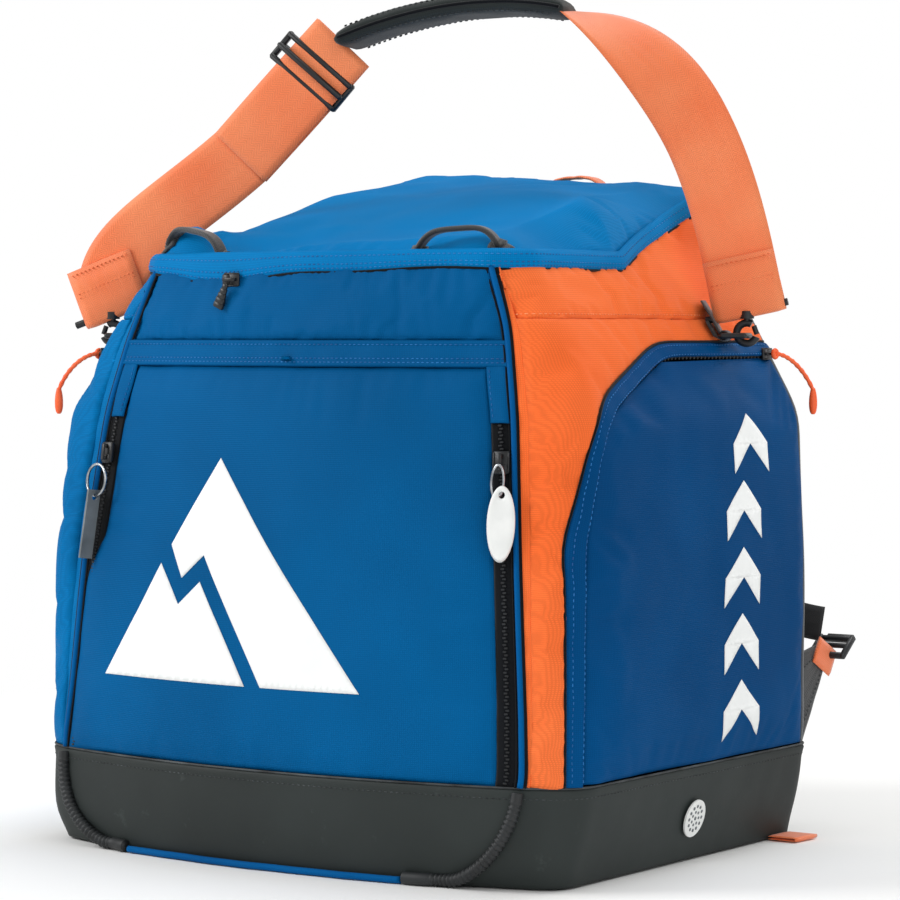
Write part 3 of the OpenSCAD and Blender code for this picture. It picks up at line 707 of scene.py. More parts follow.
BLUE = woven("blue_cloth", "005287", "005f9a", sheen=0.01, tint="2a88c8")
# The right door's blue: the blue cloth made darker, as painted shade on the side away from the lamps.
BLUE_PAINTED_SHADE = woven("blue_cloth_painted_shade", "004378", "004e88", sheen=0.01, tint="2a80c0")
# The lid's blue: the blue cloth made lighter, as painted light falling on the top.
BLUE_PAINTED_TOP_LIGHT = woven("blue_cloth_painted_top_light", "0070ae", "007fc2", sheen=0.01, tint="2a88c8")
# The left side's blue: the blue cloth made lighter, as painted light from the left.
BLUE_PAINTED_SIDE_LIGHT = woven("blue_cloth_painted_side_light", "0068a4", "0076b6", sheen=0.01, tint="2a88c8")
ORANGE = woven("orange_cloth", "f66d32", "fe7c42", sheen=0.12, tint="ffc9a0")
LINING = woven("lining_cloth", "232a31", "303942", period=0.9)
TAPE = woven("zip_tape_cloth", "0c0e11", "17191d", period=0.9, sheen=0.15)
BINDING_BLUE = woven("blue_binding", "005492", "0062a4", period=0.8, sheen=0.02)
TARP = tarpaulin("base_tarpaulin")
STRAP = webbing("orange_webbing", "f97a40", "ff9058")
BLACK_WEB = webbing("black_webbing", "111316", "1e2125")
PAD = woven("pad_cloth", "292d2d", "363b3a", period=1.6, sheen=0.15, rough=0.75)
AIR = mesh_fabric("air_mesh", "1b1e21", "2b2f33")
PLASTIC = moulded("black_plastic", "0e1012", "1c1f22")
RUBBER = moulded("ribbed_rubber", "15181a", "24282a", rough=0.55, grain=0.12)
CORD = moulded("cord_grip", "f2581f", "ff7038", rough=0.5)
WHITE = moulded("white_plastic", "e4e6e4", "f6f7f5", rough=0.38)
PRINT = moulded("white_transfer", "eff1f0", "f5f7f6", rough=0.6, grain=0.05)
GREY = moulded("grey_rubber", "565c5f", "737a7d", rough=0.6)
WIRE = metal("nickel_wire")
THREAD_BLUE = moulded("blue_thread", "004c8c", "1a7cc4", rough=0.6)
THREAD_ORANGE = moulded("orange_thread", "d9541c", "ffa06a", rough=0.6)
THREAD_DARK = moulded("dark_thread", "141719", "4a5052", rough=0.6)
BOARD = moulded("stiffener_board", "1a1c1e", "292c2f", rough=0.7, grain=0.3)


# ---- Pressing details onto finished pieces ----

def surface_tree(*objects):
    """A search tree over the outer faces of finished pieces, in metres."""
    verts, faces = [], []
    for obj in objects:
        mesh = obj.data
        base = len(verts)
        verts += [v.co.copy() for v in mesh.vertices]
        faces += [[i + base for i in f.vertices] for f in mesh.polygons]
    return BVHTree.FromPolygons(verts, faces)


def pressed(tree, points, aim, lift):
    """Points moved along aim onto a surface, then raised by lift. Points that miss stay put."""
    aim = np.array(aim, float)
    out = np.array(points, float)
    raised = np.tile(-aim, (len(out), 1))
    for k, p in enumerate(out):
        start = Vector((p - aim * 60) * MM)
        hit = tree.ray_cast(start, Vector(aim), 0.14)
        if hit[0] is None:
            near = tree.find_nearest(Vector(p * MM))
            location, normal = near[0], near[1]
        else:
            location, normal = hit[0], hit[1]
        normal = np.array(normal)
        if normal @ aim > 0:
            normal = -normal
        raised[k] = normal
        out[k] = np.array(location) / MM + normal * lift
    return out, raised


def resampled(path, step):
    path = np.asarray(path, float)
    length = np.r_[0, np.cumsum(np.linalg.norm(np.diff(path, axis=0), axis=1))]
    count = max(2, int(length[-1] / step) + 1)
    at = np.linspace(0, length[-1], count)
    return np.stack([np.interp(at, length, path[:, k]) for k in range(path.shape[1])], -1)


def stitch_parts(points, ups, half_w=0.45, high=0.45, share=0.62):
    """One raised thread between every pair of neighbouring points."""
    verts, faces = [], []
    for a, b, up in zip(points[:-1], points[1:], ups[:-1]):
        d = b - a
        size = np.linalg.norm(d)
        if size < 1e-6 or size > 12:
            continue
        d = d / size
        across = np.cross(up, d)
        across /= max(np.linalg.norm(across), 1e-9)
        mid, half = (a + b) / 2, size * share / 2
        base = len(verts)
        verts += [mid - d * half, mid + d * half]
        for s in (-0.6, 0.6):
            verts += [mid + d * half * s + across * half_w, mid + d * half * s + up * high,
                      mid + d * half * s - across * half_w, mid + d * half * s - up * high]
        for k in range(4):
            h = (k + 1) % 4
            faces += [(base, base + 2 + h, base + 2 + k), (base + 1, base + 6 + k, base + 6 + h),
                      (base + 2 + k, base + 2 + h, base + 6 + h, base + 6 + k)]
    return np.array(verts).reshape(-1, 3), faces, None


def stitching(name, tree, paths, aim, material, body, slot, step=4.2, lift=0.15, wide=0.45):
    """Rows of stitches pressed onto a surface."""
    parts = []
    for path in paths:
        points, ups = pressed(tree, resampled(path, step), aim, lift)
        verts, faces, uvs = stitch_parts(points, ups, wide)
        if len(verts):
            parts.append((verts, faces, uvs))
    verts, faces, uvs = joined(parts)
    return finish_mesh(name, verts, faces, uvs, material, body, slot)


def decal(name, tree, shapes, to_space, aim, material, body, slot, lift=0.5, cell=6.0):
    """Flat transfer shapes cut from closed outlines and pressed onto a surface."""
    parts = []
    for shape in shapes:
        flat = [Vector((u, v, 0)) for u, v in shape]
        triangles = [tuple(flat[i] for i in t) for t in geometry.tessellate_polygon([flat])]
        fine = []
        while triangles:
            a, b, c = triangles.pop()
            sides = [(b - a).length, (c - b).length, (a - c).length]
            if max(sides) < cell:
                fine.append((a, b, c))
                continue
            k = sides.index(max(sides))
            a, b, c = [(a, b, c), (b, c, a), (c, a, b)][k]
            mid = (a + b) / 2
            triangles += [(a, mid, c), (mid, b, c)]
        index, verts, faces = {}, [], []
        for tri in fine:
            face = []
            for q in tri:
                key = (round(q.x, 3), round(q.y, 3))
                if key not in index:
                    index[key] = len(verts)
                    verts.append((q.x, q.y))
                face.append(index[key])
            faces.append(tuple(face))
        verts = np.array(verts)
        points, ups = pressed(tree, to_space(verts[:, 0], verts[:, 1]), aim, lift)
        a, b, c = (points[list(i)] for i in zip(*faces))
        facing = np.einsum("ij,ij->i", np.cross(b - a, c - a), ups[[f[0] for f in faces]])
        faces = [f if side > 0 else f[::-1] for f, side in zip(faces, facing)]
        parts.append((points, faces, verts))
    verts, faces, uvs = joined(parts)
    obj = finish_mesh(name, verts, faces, uvs, material, body, slot)
    solid = obj.modifiers.new("film", "SOLIDIFY")
    solid.thickness = 0.35 * MM
    return obj


def zip_coil(centre, ups, pitch=2.6, half_w=2.4, high=1.3):
    """The teeth of a zip along a line of points: alternate blocks from the left and the right."""
    parts = []
    path = resampled(centre, pitch)
    t = np.gradient(path, axis=0)
    t /= np.linalg.norm(t, axis=1, keepdims=True)
    up_at = ups if callable(ups) else (lambda p: ups)
    for k, p in enumerate(path):
        up = np.array(up_at(p), float)
        across = np.cross(t[k], up)
        across /= np.linalg.norm(across)
        lift = np.cross(across, t[k])
        side = 1 if k % 2 else -1
        turn = np.stack([across, t[k], lift], -1)
        parts.append(box_parts((half_w * 1.5, pitch * 0.62, high), p + across * side * half_w * 0.3,
                               bevel=0.35, turn=turn))
    return joined(parts)


# ---- Outlines on the sides ----

def arch_outline(grow, cut, low):
    """The right door's outline widened by grow: the (y, z) hull of its foot and its circles."""
    circles = np.array(((-DOOR_FOOT, DOOR_FLOOR, 0),) + DOOR_CIRCLES, float)
    angle = np.linspace(math.pi, math.pi / 2, 181)
    c, s = np.cos(angle), np.sin(angle)
    best = np.argmax(np.outer(c, circles[:, 0]) + np.outer(s, circles[:, 1]) + circles[:, 2], axis=1)
    reach = circles[best, 2] + grow
    line = np.stack([circles[best, 0] + reach * c, circles[best, 1] + reach * s], -1)
    first = int(np.argmax(best > 0))
    rise = line[first] - line[first - 1]
    below = line[first - 1] - rise * (line[first - 1, 1] - low + 60) / rise[1]
    line = resampled(np.vstack([below, line[first - 1:], [cut + 60, DOOR_TOP + grow]]), 1.5)
    kernel = np.hanning(45) / np.hanning(45).sum()
    soft = np.stack([np.convolve(line[:, k], kernel, "valid") for k in range(2)], -1)
    bottom = [np.interp(low, soft[:, 1], soft[:, 0]), low]
    inside = soft[(soft[:, 1] > low + 1) & (soft[:, 0] < cut - 1)]
    return np.vstack([bottom, inside, [cut, DOOR_TOP + grow]])


def arch_line(side, grow, low=DOOR_FLOOR, steps=70):
    """A door's outline widened by grow, as (y, z) points: up its slope, over, to the straight end.

    The left door is the right one turned half way round and set a little forward.
    """
    line = arch_outline(grow, DOOR_CUT[side], low)
    length = np.r_[0, np.cumsum(np.linalg.norm(np.diff(line, axis=0), axis=1))]
    at = np.linspace(0, length[-1], steps)
    line = np.stack([np.interp(at, length, line[:, k]) for k in range(2)], -1)
    return line * np.array([side, 1]) + np.array([DOOR_SHIFT[side], 0])


def arch_left_y(z, grow):
    """The y of the right door's sloping edge at height z."""
    line = arch_outline(grow, DOOR_CUT[1], BASE_H)
    return np.interp(z, line[:-1, 1], line[:-1, 0])


# ---- Base ----

def ring_at(z, count, shrink=1.0):
    """A closed plan outline at height z with count points, counterclockwise from the front middle."""
    row = np.array([np.interp(z, heights, level_rows[:, k]) for k in range(6)])
    ox, oy = outline(row)
    x, y = np.r_[ox, -ox[-2:0:-1]], np.r_[oy, oy[-2:0:-1]]
    x, y = np.r_[x, x[:1]], np.r_[y, y[:1]]
    length = np.r_[0, np.cumsum(np.hypot(np.diff(x), np.diff(y)))]
    at = np.linspace(0, length[-1], count, endpoint=False)
    points = np.stack([np.interp(at, length, x), np.interp(at, length, y)], -1)
    middle = np.array([0, -10.0])
    return np.c_[middle + (points - middle) * shrink, np.full(count, float(z))]


def base_tub():
    count = 300
    floor = [ring_at(0, count, s) + (0, 0, 0.4) for s in (0.05, 0.4, 0.75, 0.93, 0.985)]
    walls = [ring_at(z, count) for z in (1.5, 4, 8, 13, 19, 26, 33, 40, 46, 52, 57, 61, 64, 66.5)]
    p = np.stack(floor + walls, 1)
    soft = rumple(p, 70, 1.3, 3) + rumple(p, 26, 0.45, 9)
    out = p - np.array([0, -10, 0])
    out[..., 2] = 0
    out /= np.linalg.norm(out, axis=-1, keepdims=True)
    hold = smooth(2, 20, p[..., 2]) * (1 - 0.7 * smooth(56, 66, p[..., 2]))
    lip = 0.9 * smooth(60, 62, p[..., 2]) - 1.6 * smooth(64.5, 66.5, p[..., 2])
    p = p + out * (soft * hold + lip)[..., None]
    tub = sheet("base_tub_shell", p, TARP, "root", "tarpaulin", thick=3, close=True)
    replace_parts(tub, "base_tub")
    tree = surface_tree(tub)
    ring = ring_at(59.5, 500)
    centre = np.array([0, -10.0, 59.5])
    pts, ups = [], []
    for q in resampled(np.vstack([ring, ring[:1]]), 4.2):
        aim = centre - q
        a, b = pressed(tree, [q], aim / np.linalg.norm(aim), 0.1)
        pts.append(a[0])
        ups.append(b[0])
    v, f, u = stitch_parts(np.array(pts), np.array(ups), 0.35, 0.35)
    finish_mesh("base_tub_stitches", v, f, u, THREAD_DARK, "root", "tarpaulin")
    edge = ring_at(66.3, 400)
    tube("base_top_edge", edge, 0.8, THREAD_DARK, "root", "tarpaulin", corners=6, close=True)
    return tree


GUARD_ROUND, GUARD_X, GUARD_R = 63, 131, 4.0


def guard_line(side, foot_x):
    """The centre line of a corner guard: down round the corner, then along the foot."""
    floor = GUARD_R + 0.6
    points = []
    for a in np.arange(90, 4, -3.0):
        z = max(floor, 65 - GUARD_ROUND * math.cos(math.radians(a)))
        x = GUARD_X + GUARD_ROUND * math.sin(math.radians(a))
        points.append([side * x, seam_y(z) - GUARD_R + 0.6, z])
    for x in np.linspace(GUARD_X, foot_x, 5):
        points.append([side * x, front_at(x, floor)[1] - GUARD_R + 0.4, floor])
    return np.array(points)


def corner_guards():
    """Ribbed rubber cords that protect the lower front corners, with smooth sleeves at the ends."""
    parts = []
    for side, foot_x in ((1, 113), (-1, 124)):
        path = resampled(guard_line(side, foot_x), 0.9)
        path = np.stack([np.convolve(np.pad(path[:, k], 6, mode="edge"), np.ones(13) / 13, "valid")
                         for k in range(3)], -1)
        share = np.linspace(0, 1, len(path))
        ribbed = smooth(0.05, 0.09, share) * (1 - smooth(0.80, 0.84, share))
        rib = np.sin(np.arange(len(path)) * 0.9 * 2 * math.pi / 3.4)
        radius = 4.1 + ribbed * (0.55 * np.clip(rib * 1.6, -1, 1) - 0.25)
        parts.append(tube_parts(path, radius, (0, 1, 0), 16))
    v, f, u = joined(parts)
    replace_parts(finish_mesh("corner_guard_cords", v, f, u, RUBBER, "root", "black_binding"),
                "corner_guards")


def bottom_piping():
    x = np.linspace(-122, 112, 90)
    wave = 0.5 * np.sin(x / 17) + 0.3 * np.sin(x / 6.1)
    path = np.stack([x, front_at(x, 3)[:, 1] - 3.4 + wave, 2.8 + 0 * x], -1)
    piping = tube("bottom_piping_cord", path, 2.3, BINDING_BLUE, "root", "blue_binding", (0, 1, 0), 12)
    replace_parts(piping, "bottom_piping")


# ---- Front ----

def front_grid(low, high, edge, nx, nz):
    """Points of the front between two heights, edge millimetres inside the front seams."""
    u, z = grid(np.linspace(-1, 1, nx), np.linspace(low, high, nz))
    return front_at(u * (seam_x(z) - edge), z)


def front_panel():
    inner = ZIP_INSET + ZIP_HALF + 0.6
    p = front_grid(BASE_H + 0.5, BAND[0], inner, 96, 66)
    cover = 12.5 * smooth(225, 180, p[..., 2]) * smooth(0.72, 0.99, -np.linspace(-1, 1, 96))[:, None]
    p = front_at(p[..., 0] - cover, p[..., 2]) + np.array([0, -1, 0]) * (0.12 * cover)[..., None]
    u = np.abs(np.linspace(-1, 1, 96))[:, None]
    v = np.linspace(0, 1, 66)[None]
    belly = 2.4 * (1 - u ** 2.5) * np.sin(math.pi * v) ** 0.6
    soft = rumple(p, 90, 1.5, 1) + rumple(p, 36, 0.6, 4)
    folds = (fold(p, (165, -170, 150), (110, -178, 176), 12, 1.2)
             + fold(p, (166, -168, 118), (122, -180, 128), 9, -0.9)
             + fold(p, (-166, -168, 235), (-118, -172, 222), 11, 1.0)
             + fold(p, (160, -160, 312), (96, -170, 296), 10, 1.0)
             + fold(p, (-150, -160, 318), (-70, -172, 300), 13, 0.9))
    p = p + normals(p) * (belly + soft * np.sin(math.pi * v) ** 0.4 + folds)[..., None]
    p = draped(p, 0.006, 0.6, 2.5, 11)
    p = sewn_edge(p, 1.2, 1.6)
    panel = sheet("front_pocket_panel", p, BLUE, "root", "blue_fabric", thick=1.6)
    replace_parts(panel, "front_panel")
    return surface_tree(panel)


def front_band():
    """The stitched welt across the front, with a fine ridge along each edge and soft gathers."""
    p = front_grid(BAND[0] - 0.5, BAND[1] + 0.5, 3.0, 150, 15)
    v = np.linspace(0, 1, 15)[None]
    ridge = 1.1 * np.exp(-(((v - 0.09) / 0.06) ** 2)) + 1.1 * np.exp(-(((v - 0.91) / 0.06) ** 2))
    gather = 0.45 * np.sin(p[..., 0] / 5.3 + 1.5 * np.sin(p[..., 0] / 31)) * np.sin(math.pi * v)
    p = p + normals(p) * (0.8 + ridge + gather - 0.9 * (np.abs(v - 0.5) > 0.49))[..., None]
    panel = sheet("front_band_welt", p, BLUE, "root", "blue_fabric", thick=2.2)
    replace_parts(panel, "front_band")
    tree = surface_tree(panel)
    paths = []
    for z in (BAND[0] + 2.6, BAND[1] - 2.6, BAND[0] + 5.2):
        x = np.linspace(-seam_x(z) + 5, seam_x(z) - 5, 120)
        paths.append(front_at(x, z))
    stitching("front_band_stitches", tree, paths, (0, 1, 0), THREAD_BLUE, "root", "blue_fabric",
              step=3.6, wide=0.35)


def zip_garages():
    """Small stitched patches that cover the top ends of the front zips."""
    for side, name in ((1, "right"), (-1, "left")):
        u, z = grid(np.linspace(0, 1, 16), np.linspace(ZIP_TOP - 3, BAND[0] + 0.5, 20))
        a, b = seam_x(z) - ZIP_INSET - ZIP_HALF - 0.8, seam_x(z) - 5.2
        x = a + (b - a) * u if side > 0 else -(b + (a - b) * u)
        p = front_at(x, z)
        v = np.linspace(0, 1, 20)[None]
        cross = np.linspace(-1, 1, 16)[:, None]
        p = p + normals(p) * (1.4 * (1 - cross ** 4) + 0.5 * np.sin(v * 5 + cross * 2) + 0.4)[..., None]
        patch = sheet(f"zip_garage_{name}", p, BLUE, "root", "blue_fabric", thick=1.6)
        tree = surface_tree(patch)
        zs = np.linspace(ZIP_TOP, BAND[0] - 1, 12)
        inner = front_at(side * (seam_x(zs) - ZIP_INSET - ZIP_HALF + 2), zs)
        stitching(f"zip_garage_stitches_{name}", tree, [inner], (0, 1, 0), THREAD_BLUE, "root",
                  "blue_fabric", step=3.4, wide=0.35)


def front_yoke():
    p = front_grid(BAND[1], RIM_Z + 1, 3.2, 110, 34)
    v = np.linspace(0, 1, 34)[None]
    soft = rumple(p, 60, 2.2, 21) + rumple(p, 24, 0.9, 22)
    folds = (fold(p, (-128, -146, 352), (-112, -150, 396), 9, 2.6)
             + fold(p, (-104, -148, 352), (-86, -152, 392), 8, -2.2)
             + fold(p, (-40, -156, 356), (-62, -154, 396), 13, 2.2)
             + fold(p, (20, -156, 356), (-18, -154, 392), 15, -2.4)
             + fold(p, (60, -154, 354), (44, -152, 394), 14, 2.0)
             + fold(p, (118, -146, 356), (96, -150, 392), 12, 1.8)
             + fold(p, (134, -142, 370), (122, -144, 398), 7, -1.4))
    hold = np.sin(math.pi * np.clip(v, 0, 0.93)) ** 0.5
    p = p + normals(p) * ((soft + folds) * hold)[..., None]
    p = draped(p, 0.02, 1.0, 3.5, 23)
    p = sewn_edge(p, 1.2, 1.5, edges=(1, 1, 1, 0))
    yoke = sheet("front_yoke_panel", p, BLUE, "root", "blue_fabric", thick=1.6)
    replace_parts(yoke, "front_yoke")


def front_zips():
    """Black zip tapes with their coils, set just under the panels beside them."""
    tape, coil = [], []
    for side in (1, -1):
        u, z = grid(np.linspace(0, 1, 9), np.linspace(BASE_H + 1, ZIP_TOP + 4, 60))
        a, b = seam_x(z) - ZIP_INSET - ZIP_HALF - 0.6, seam_x(z) - 5.0
        x = a + (b - a) * u if side > 0 else -(b + (a - b) * u)
        p = front_at(x, z)
        seam = np.exp(-(((u - 0.5) / 0.08) ** 2))
        p = p + normals(p) * (-1.0 + 0.5 * np.abs(np.sin(u * math.pi)) - 0.5 * seam)[..., None]
        tape.append((p.reshape(-1, 3), grid_faces(9, 60), grid_uv(p)))
        zs = np.linspace(BASE_H + 3, ZIP_TOP, 90)
        line = front_at(side * (seam_x(zs) - ZIP_INSET - 1.0), zs)
        line[:, 1] -= 0.3
        coil.append(zip_coil(line, np.array([side * 0.24, -0.97, -0.1]), pitch=2.2, half_w=1.7, high=1.1))
    v, f, u = joined(tape)
    tapes = finish_mesh("front_zip_tapes", v, f, u, TAPE, "root", "zip_tape")
    thick = tapes.modifiers.new("cloth_thickness", "SOLIDIFY")
    thick.thickness, thick.offset = 0.9 * MM, -1
    v, f, u = joined(coil)
    coils = finish_mesh("front_zip_coils", v, f, u, PLASTIC, "root", "zip_tape", shade=False)
    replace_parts(tapes, "front_zips")
    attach(coils, "root")


def seam_piping():
    """Blue piping with a black cord beside it down both front seams."""
    blue, black, ties = [], [], []
    z = np.linspace(BASE_H + 0.5, RIM_Z + 0.5, 110)
    for side in (1, -1):
        for out, inset, radius, parts in ((0.5, 2.6, 2.0, blue), (0.2, -0.2, 1.1, black)):
            path = front_at(side * (seam_x(z) - inset), z)
            path = path + np.array([side * 0.5, -0.85, 0]) * out
            parts.append(tube_parts(path, radius, (0, 1, 0), 10))
        x = seam_x(z) - 5.6
        path = front_at(side * x, z) + np.array([0, -0.2, 0])
        ties.append(tube_parts(path, 0.8, (0, 1, 0), 6))
    v, f, u = joined(blue)
    piping = finish_mesh("seam_piping_blue", v, f, u, BINDING_BLUE, "root", "blue_fabric")
    v, f, u = joined(black + ties)
    finish_mesh("seam_piping_black", v, f, u, TAPE, "root", "black_binding")
    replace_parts(piping, "seam_piping")


def front_lining():
    p = front_grid(BASE_H + 6, RIM_Z - 16, 16, 40, 30)
    p[..., 1] += 10 + rumple(p, 60, 1.0, 31)
    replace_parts(sheet("front_pocket_lining", p, LINING, "root", "lining", thick=1.2), "front_lining")


def front_graphic(tree):
    """A generic printed motif: three slanted snow slopes that step up to the right."""
    shapes = [
        [(-149, 121), (-97, 199), (-78, 172), (-58, 188), (-37, 158), (-12, 121)],
        [(-88, 212), (-49, 271), (81, 121), (2, 121), (-30, 168), (-56, 206), (-76, 190)],
    ]
    decal("front_print", tree, shapes, lambda u, v: front_at(u, v), (0, 1, 0), PRINT, "root",
          "white_plastic", lift=0.45)


# ---- Sides ----

def side_patch(side, inner, outer, count):
    """A grid between two matching (y, z) lines on a side, from outer to inner."""
    share = np.linspace(0, 1, count)[:, None, None]
    line = outer[None] * (1 - share) + inner[None] * share
    return side_at(side, line[..., 0], line[..., 1])


def matched(line, stations, counts):
    """A (y, z) line resampled so that each stretch between stations has its own number of points."""
    out = []
    for a, b, n in zip(stations[:-1], stations[1:], counts):
        part = line[a:b + 1]
        length = np.r_[0, np.cumsum(np.linalg.norm(np.diff(part, axis=0), axis=1))]
        at = np.linspace(0, length[-1], n, endpoint=False)
        out.append(np.stack([np.interp(at, length, part[:, k]) for k in range(2)], -1))
    out.append(line[stations[-1]][None])
    return np.vstack(out)


def seam_line(low, high, count=60):
    z = np.linspace(low, high, count)
    return np.stack([seam_y(z) + 1.2, z], -1)


def side_lower(side, material, slot):
    """The panel between the front seam, the base, the yoke seam and the door's flap."""
    grow = LANE + FLAP
    inner = arch_line(side, grow, low=BASE_H, steps=400)
    seam = seam_line(BASE_H, YOKE_Z)
    y_seam = seam[-1, 0]
    top = np.stack([np.linspace(y_seam, 150, 80), np.full(80, YOKE_Z)], -1)
    if side > 0:
        outer = np.vstack([seam, top[1:]])
        corner = int(np.argmin(np.linalg.norm(inner - outer[59], axis=1)))
        inner_stations, outer_stations, counts = [0, corner, 399], [0, 59, len(outer) - 1], [70, 70]
    else:
        back = np.stack([np.full(60, 150.0), np.linspace(BASE_H, YOKE_Z, 60)], -1)
        outer = np.vstack([back, top[::-1][1:], seam[::-1][1:]])
        straight = np.stack([np.full(60, DOOR_SHIFT[-1] - DOOR_CUT[-1] + 0.0), np.linspace(DOOR_TOP + grow, BASE_H, 60)], -1)
        corner = int(np.argmin(np.linalg.norm(inner - outer[59], axis=1)))
        inner = np.vstack([inner, straight[1:]])
        inner_stations = [0, corner, 399, len(inner) - 1]
        outer_stations = [0, 59, 59 + 79, len(outer) - 1]
        counts = [60, 60, 60]
    p = side_patch(side, matched(inner, inner_stations, counts), matched(outer, outer_stations, counts), 22)
    g = np.linspace(0, 1, 22)[:, None]
    soft = rumple(p, 60, 1.8, 41 + side) + rumple(p, 22, 0.7, 44)
    folds = 0
    if side > 0:
        folds = fold(p, (196, -140, 300), (214, -92, 306), 9, 1.2)
        folds = folds + fold(p, (200, -130, 340), (196, -60, 352), 10, -1.2)
    hold = np.sin(math.pi * np.clip(g, 0.02, 0.98)) ** 0.4
    p = p + normals(p) * ((soft + folds) * hold + 1.0 * hold)[..., None]
    p = draped(p, 0.012, 0.8, 2.5, 47)
    p = sewn_edge(p, 1.0, 1.2, edges=(0, 1, 1, 1))
    name = "right" if side > 0 else "left"
    return sheet(f"side_panel_lower_{name}", p, material, "root", slot, thick=1.6, uv=p[..., 1:] + 300)


def side_yoke(side, material, slot):
    """The upper panel under the lid's edge, above the yoke seam."""
    u, v = grid(np.linspace(0, 1, 90), np.linspace(0, 1, 34))
    z0 = YOKE_Z + 0.0 * u
    y0 = seam_y(np.full_like(u, YOKE_Z)) + 1.2
    y = y0 + (150 - y0) * u
    z = z0 + (rim(y) + 1.5 - z0) * v
    y = np.maximum(y, (seam_y(z) + 1.2) * (1 - u) + y * u)
    p = side_at(side, y, z)
    if side < 0:
        p = p[::-1]
    soft = rumple(p, 55, 2.0, 51 + side) + rumple(p, 24, 0.8, 53)
    folds = (fold(p, (side * 176, -60, 372), (side * 158, 20, 398), 9, 2.2)
             + fold(p, (side * 170, -100, 386), (side * 176, -30, 376), 8, -1.8)
             + fold(p, (side * 178, 60, 372), (side * 160, 130, 412), 11, 2.0)
             + fold(p, (side * 170, 10, 402), (side * 172, 90, 392), 9, -1.6))
    v = np.linspace(0, 1, 34)[None]
    hold = np.sin(math.pi * np.clip(v, 0.01, 0.93)) ** 0.5
    p = p + normals(p) * ((soft + folds) * hold)[..., None]
    p = draped(p, 0.02, 0.8, 3.0, 57)
    p = sewn_edge(p, 1.1, 1.4, edges=(1, 1, 1, 0))
    name = "right" if side > 0 else "left"
    yoke = sheet(f"side_yoke_{name}", p, material, "root", slot, thick=1.6, uv=p[..., 1:] + 300)
    tree = surface_tree(yoke)
    line = np.linspace(-140, 146, 100)
    thread = THREAD_ORANGE if side > 0 else THREAD_BLUE
    stitching(f"side_yoke_stitches_{name}", tree, [side_at(side, line, YOKE_Z + 3.2)],
              (-side, 0, 0), thread, "root", slot, step=3.8, wide=0.35)
    return yoke


def seam_strip(side, material, slot):
    """The front edge of a side panel, from the piping round to where the side begins."""
    share, z = grid(np.linspace(0, 1, 12), np.linspace(BASE_H + 0.5, RIM_Z + 1, 120))
    start = seam_x(z) + 0.6
    end = side_at(1, seam_y(z) + 1.2, z)[..., 0] + 0.4
    x = start + (end - start) * share
    p = front_at(side * x, z)
    if side < 0:
        p = p[::-1]
        share = share[::-1]
    puckers = 0.5 * np.sin(z / 5.5 + 2.4 * np.sin(z / 23.0)) * smooth(330, 250, -z + 400)
    p = p + normals(p) * (puckers * np.sin(math.pi * share))[..., None]
    name = "right" if side > 0 else "left"
    sheet(f"side_seam_edge_{name}", p, material, "root", slot, thick=1.6)


def side_panels():
    # The right side is orange; the left side takes the lighter blue, as painted light from the left.
    for side, name, material, slot in ((1, "right", ORANGE, "orange_fabric"),
                                       (-1, "left", BLUE_PAINTED_SIDE_LIGHT, "blue_fabric")):
        lower = side_lower(side, material, slot)
        side_yoke(side, material, slot)
        seam_strip(side, material, slot)
        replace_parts(lower, f"side_panel_{name}")


def door_flap(side, material):
    """The storm flap over a door's zip: sewn along its outer edge, free and rounded inside."""
    grows = [13.6, 13.2, 12.4, 11.2, 9.8, 8.2, 6.8, 5.4, 4.4, 3.8, 3.3, 3.5, 4.2]
    lifts = [-0.9, 0.2, 1.2, 1.9, 2.3, 2.6, 2.8, 2.9, 2.8, 2.3, 1.4, 0.7, 0.3]
    rows = []
    for grow in grows:
        line = arch_line(side, grow, low=BASE_H + 1, steps=170)
        rows.append(side_at(side, line[:, 0], line[:, 1]))
    p = np.stack(rows, 0)
    wall = np.stack([side_at(side, line[:, 0], line[:, 1]) for line in
                     (arch_line(side, 14, BASE_H + 1, 170), arch_line(side, 3, BASE_H + 1, 170))], 0)
    out = normals(wall)[:1]
    out = out * np.sign((out * (side, -0.2, 0)).sum(-1, keepdims=True))
    soft = rumple(p, 26, 0.7, 61) + 0.25 * np.sin(np.arange(170) * 0.8)[None]
    soft = soft * smooth(0, 4, np.arange(len(grows)))[:, None] + np.array(lifts)[:, None]
    p = p + out * soft[..., None]
    name = "right" if side > 0 else "left"
    flap = sheet(f"door_flap_{name}_welt", p, material, "root", "blue_fabric", thick=0.9)
    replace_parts(flap, f"door_flap_{name}")
    tree = surface_tree(flap)
    paths = []
    for grow in (11.6, 5.4):
        line = arch_line(side, grow, low=BASE_H + 3, steps=200)
        paths.append(side_at(side, line[:, 0], line[:, 1]))
    stitching(f"door_flap_stitches_{name}", tree, paths, (-side, 0, 0), THREAD_BLUE, "root",
              "blue_fabric", step=3.8, wide=0.35)
    line = arch_line(side, 14.0, low=BASE_H + 1, steps=200)
    path = side_at(side, line[:, 0], line[:, 1]) + np.array([side * 0.5, 0, 0])
    tube(f"door_seam_cord_{name}", path, 0.9, TAPE, "root", "black_binding", (side, 0, 0), 6)


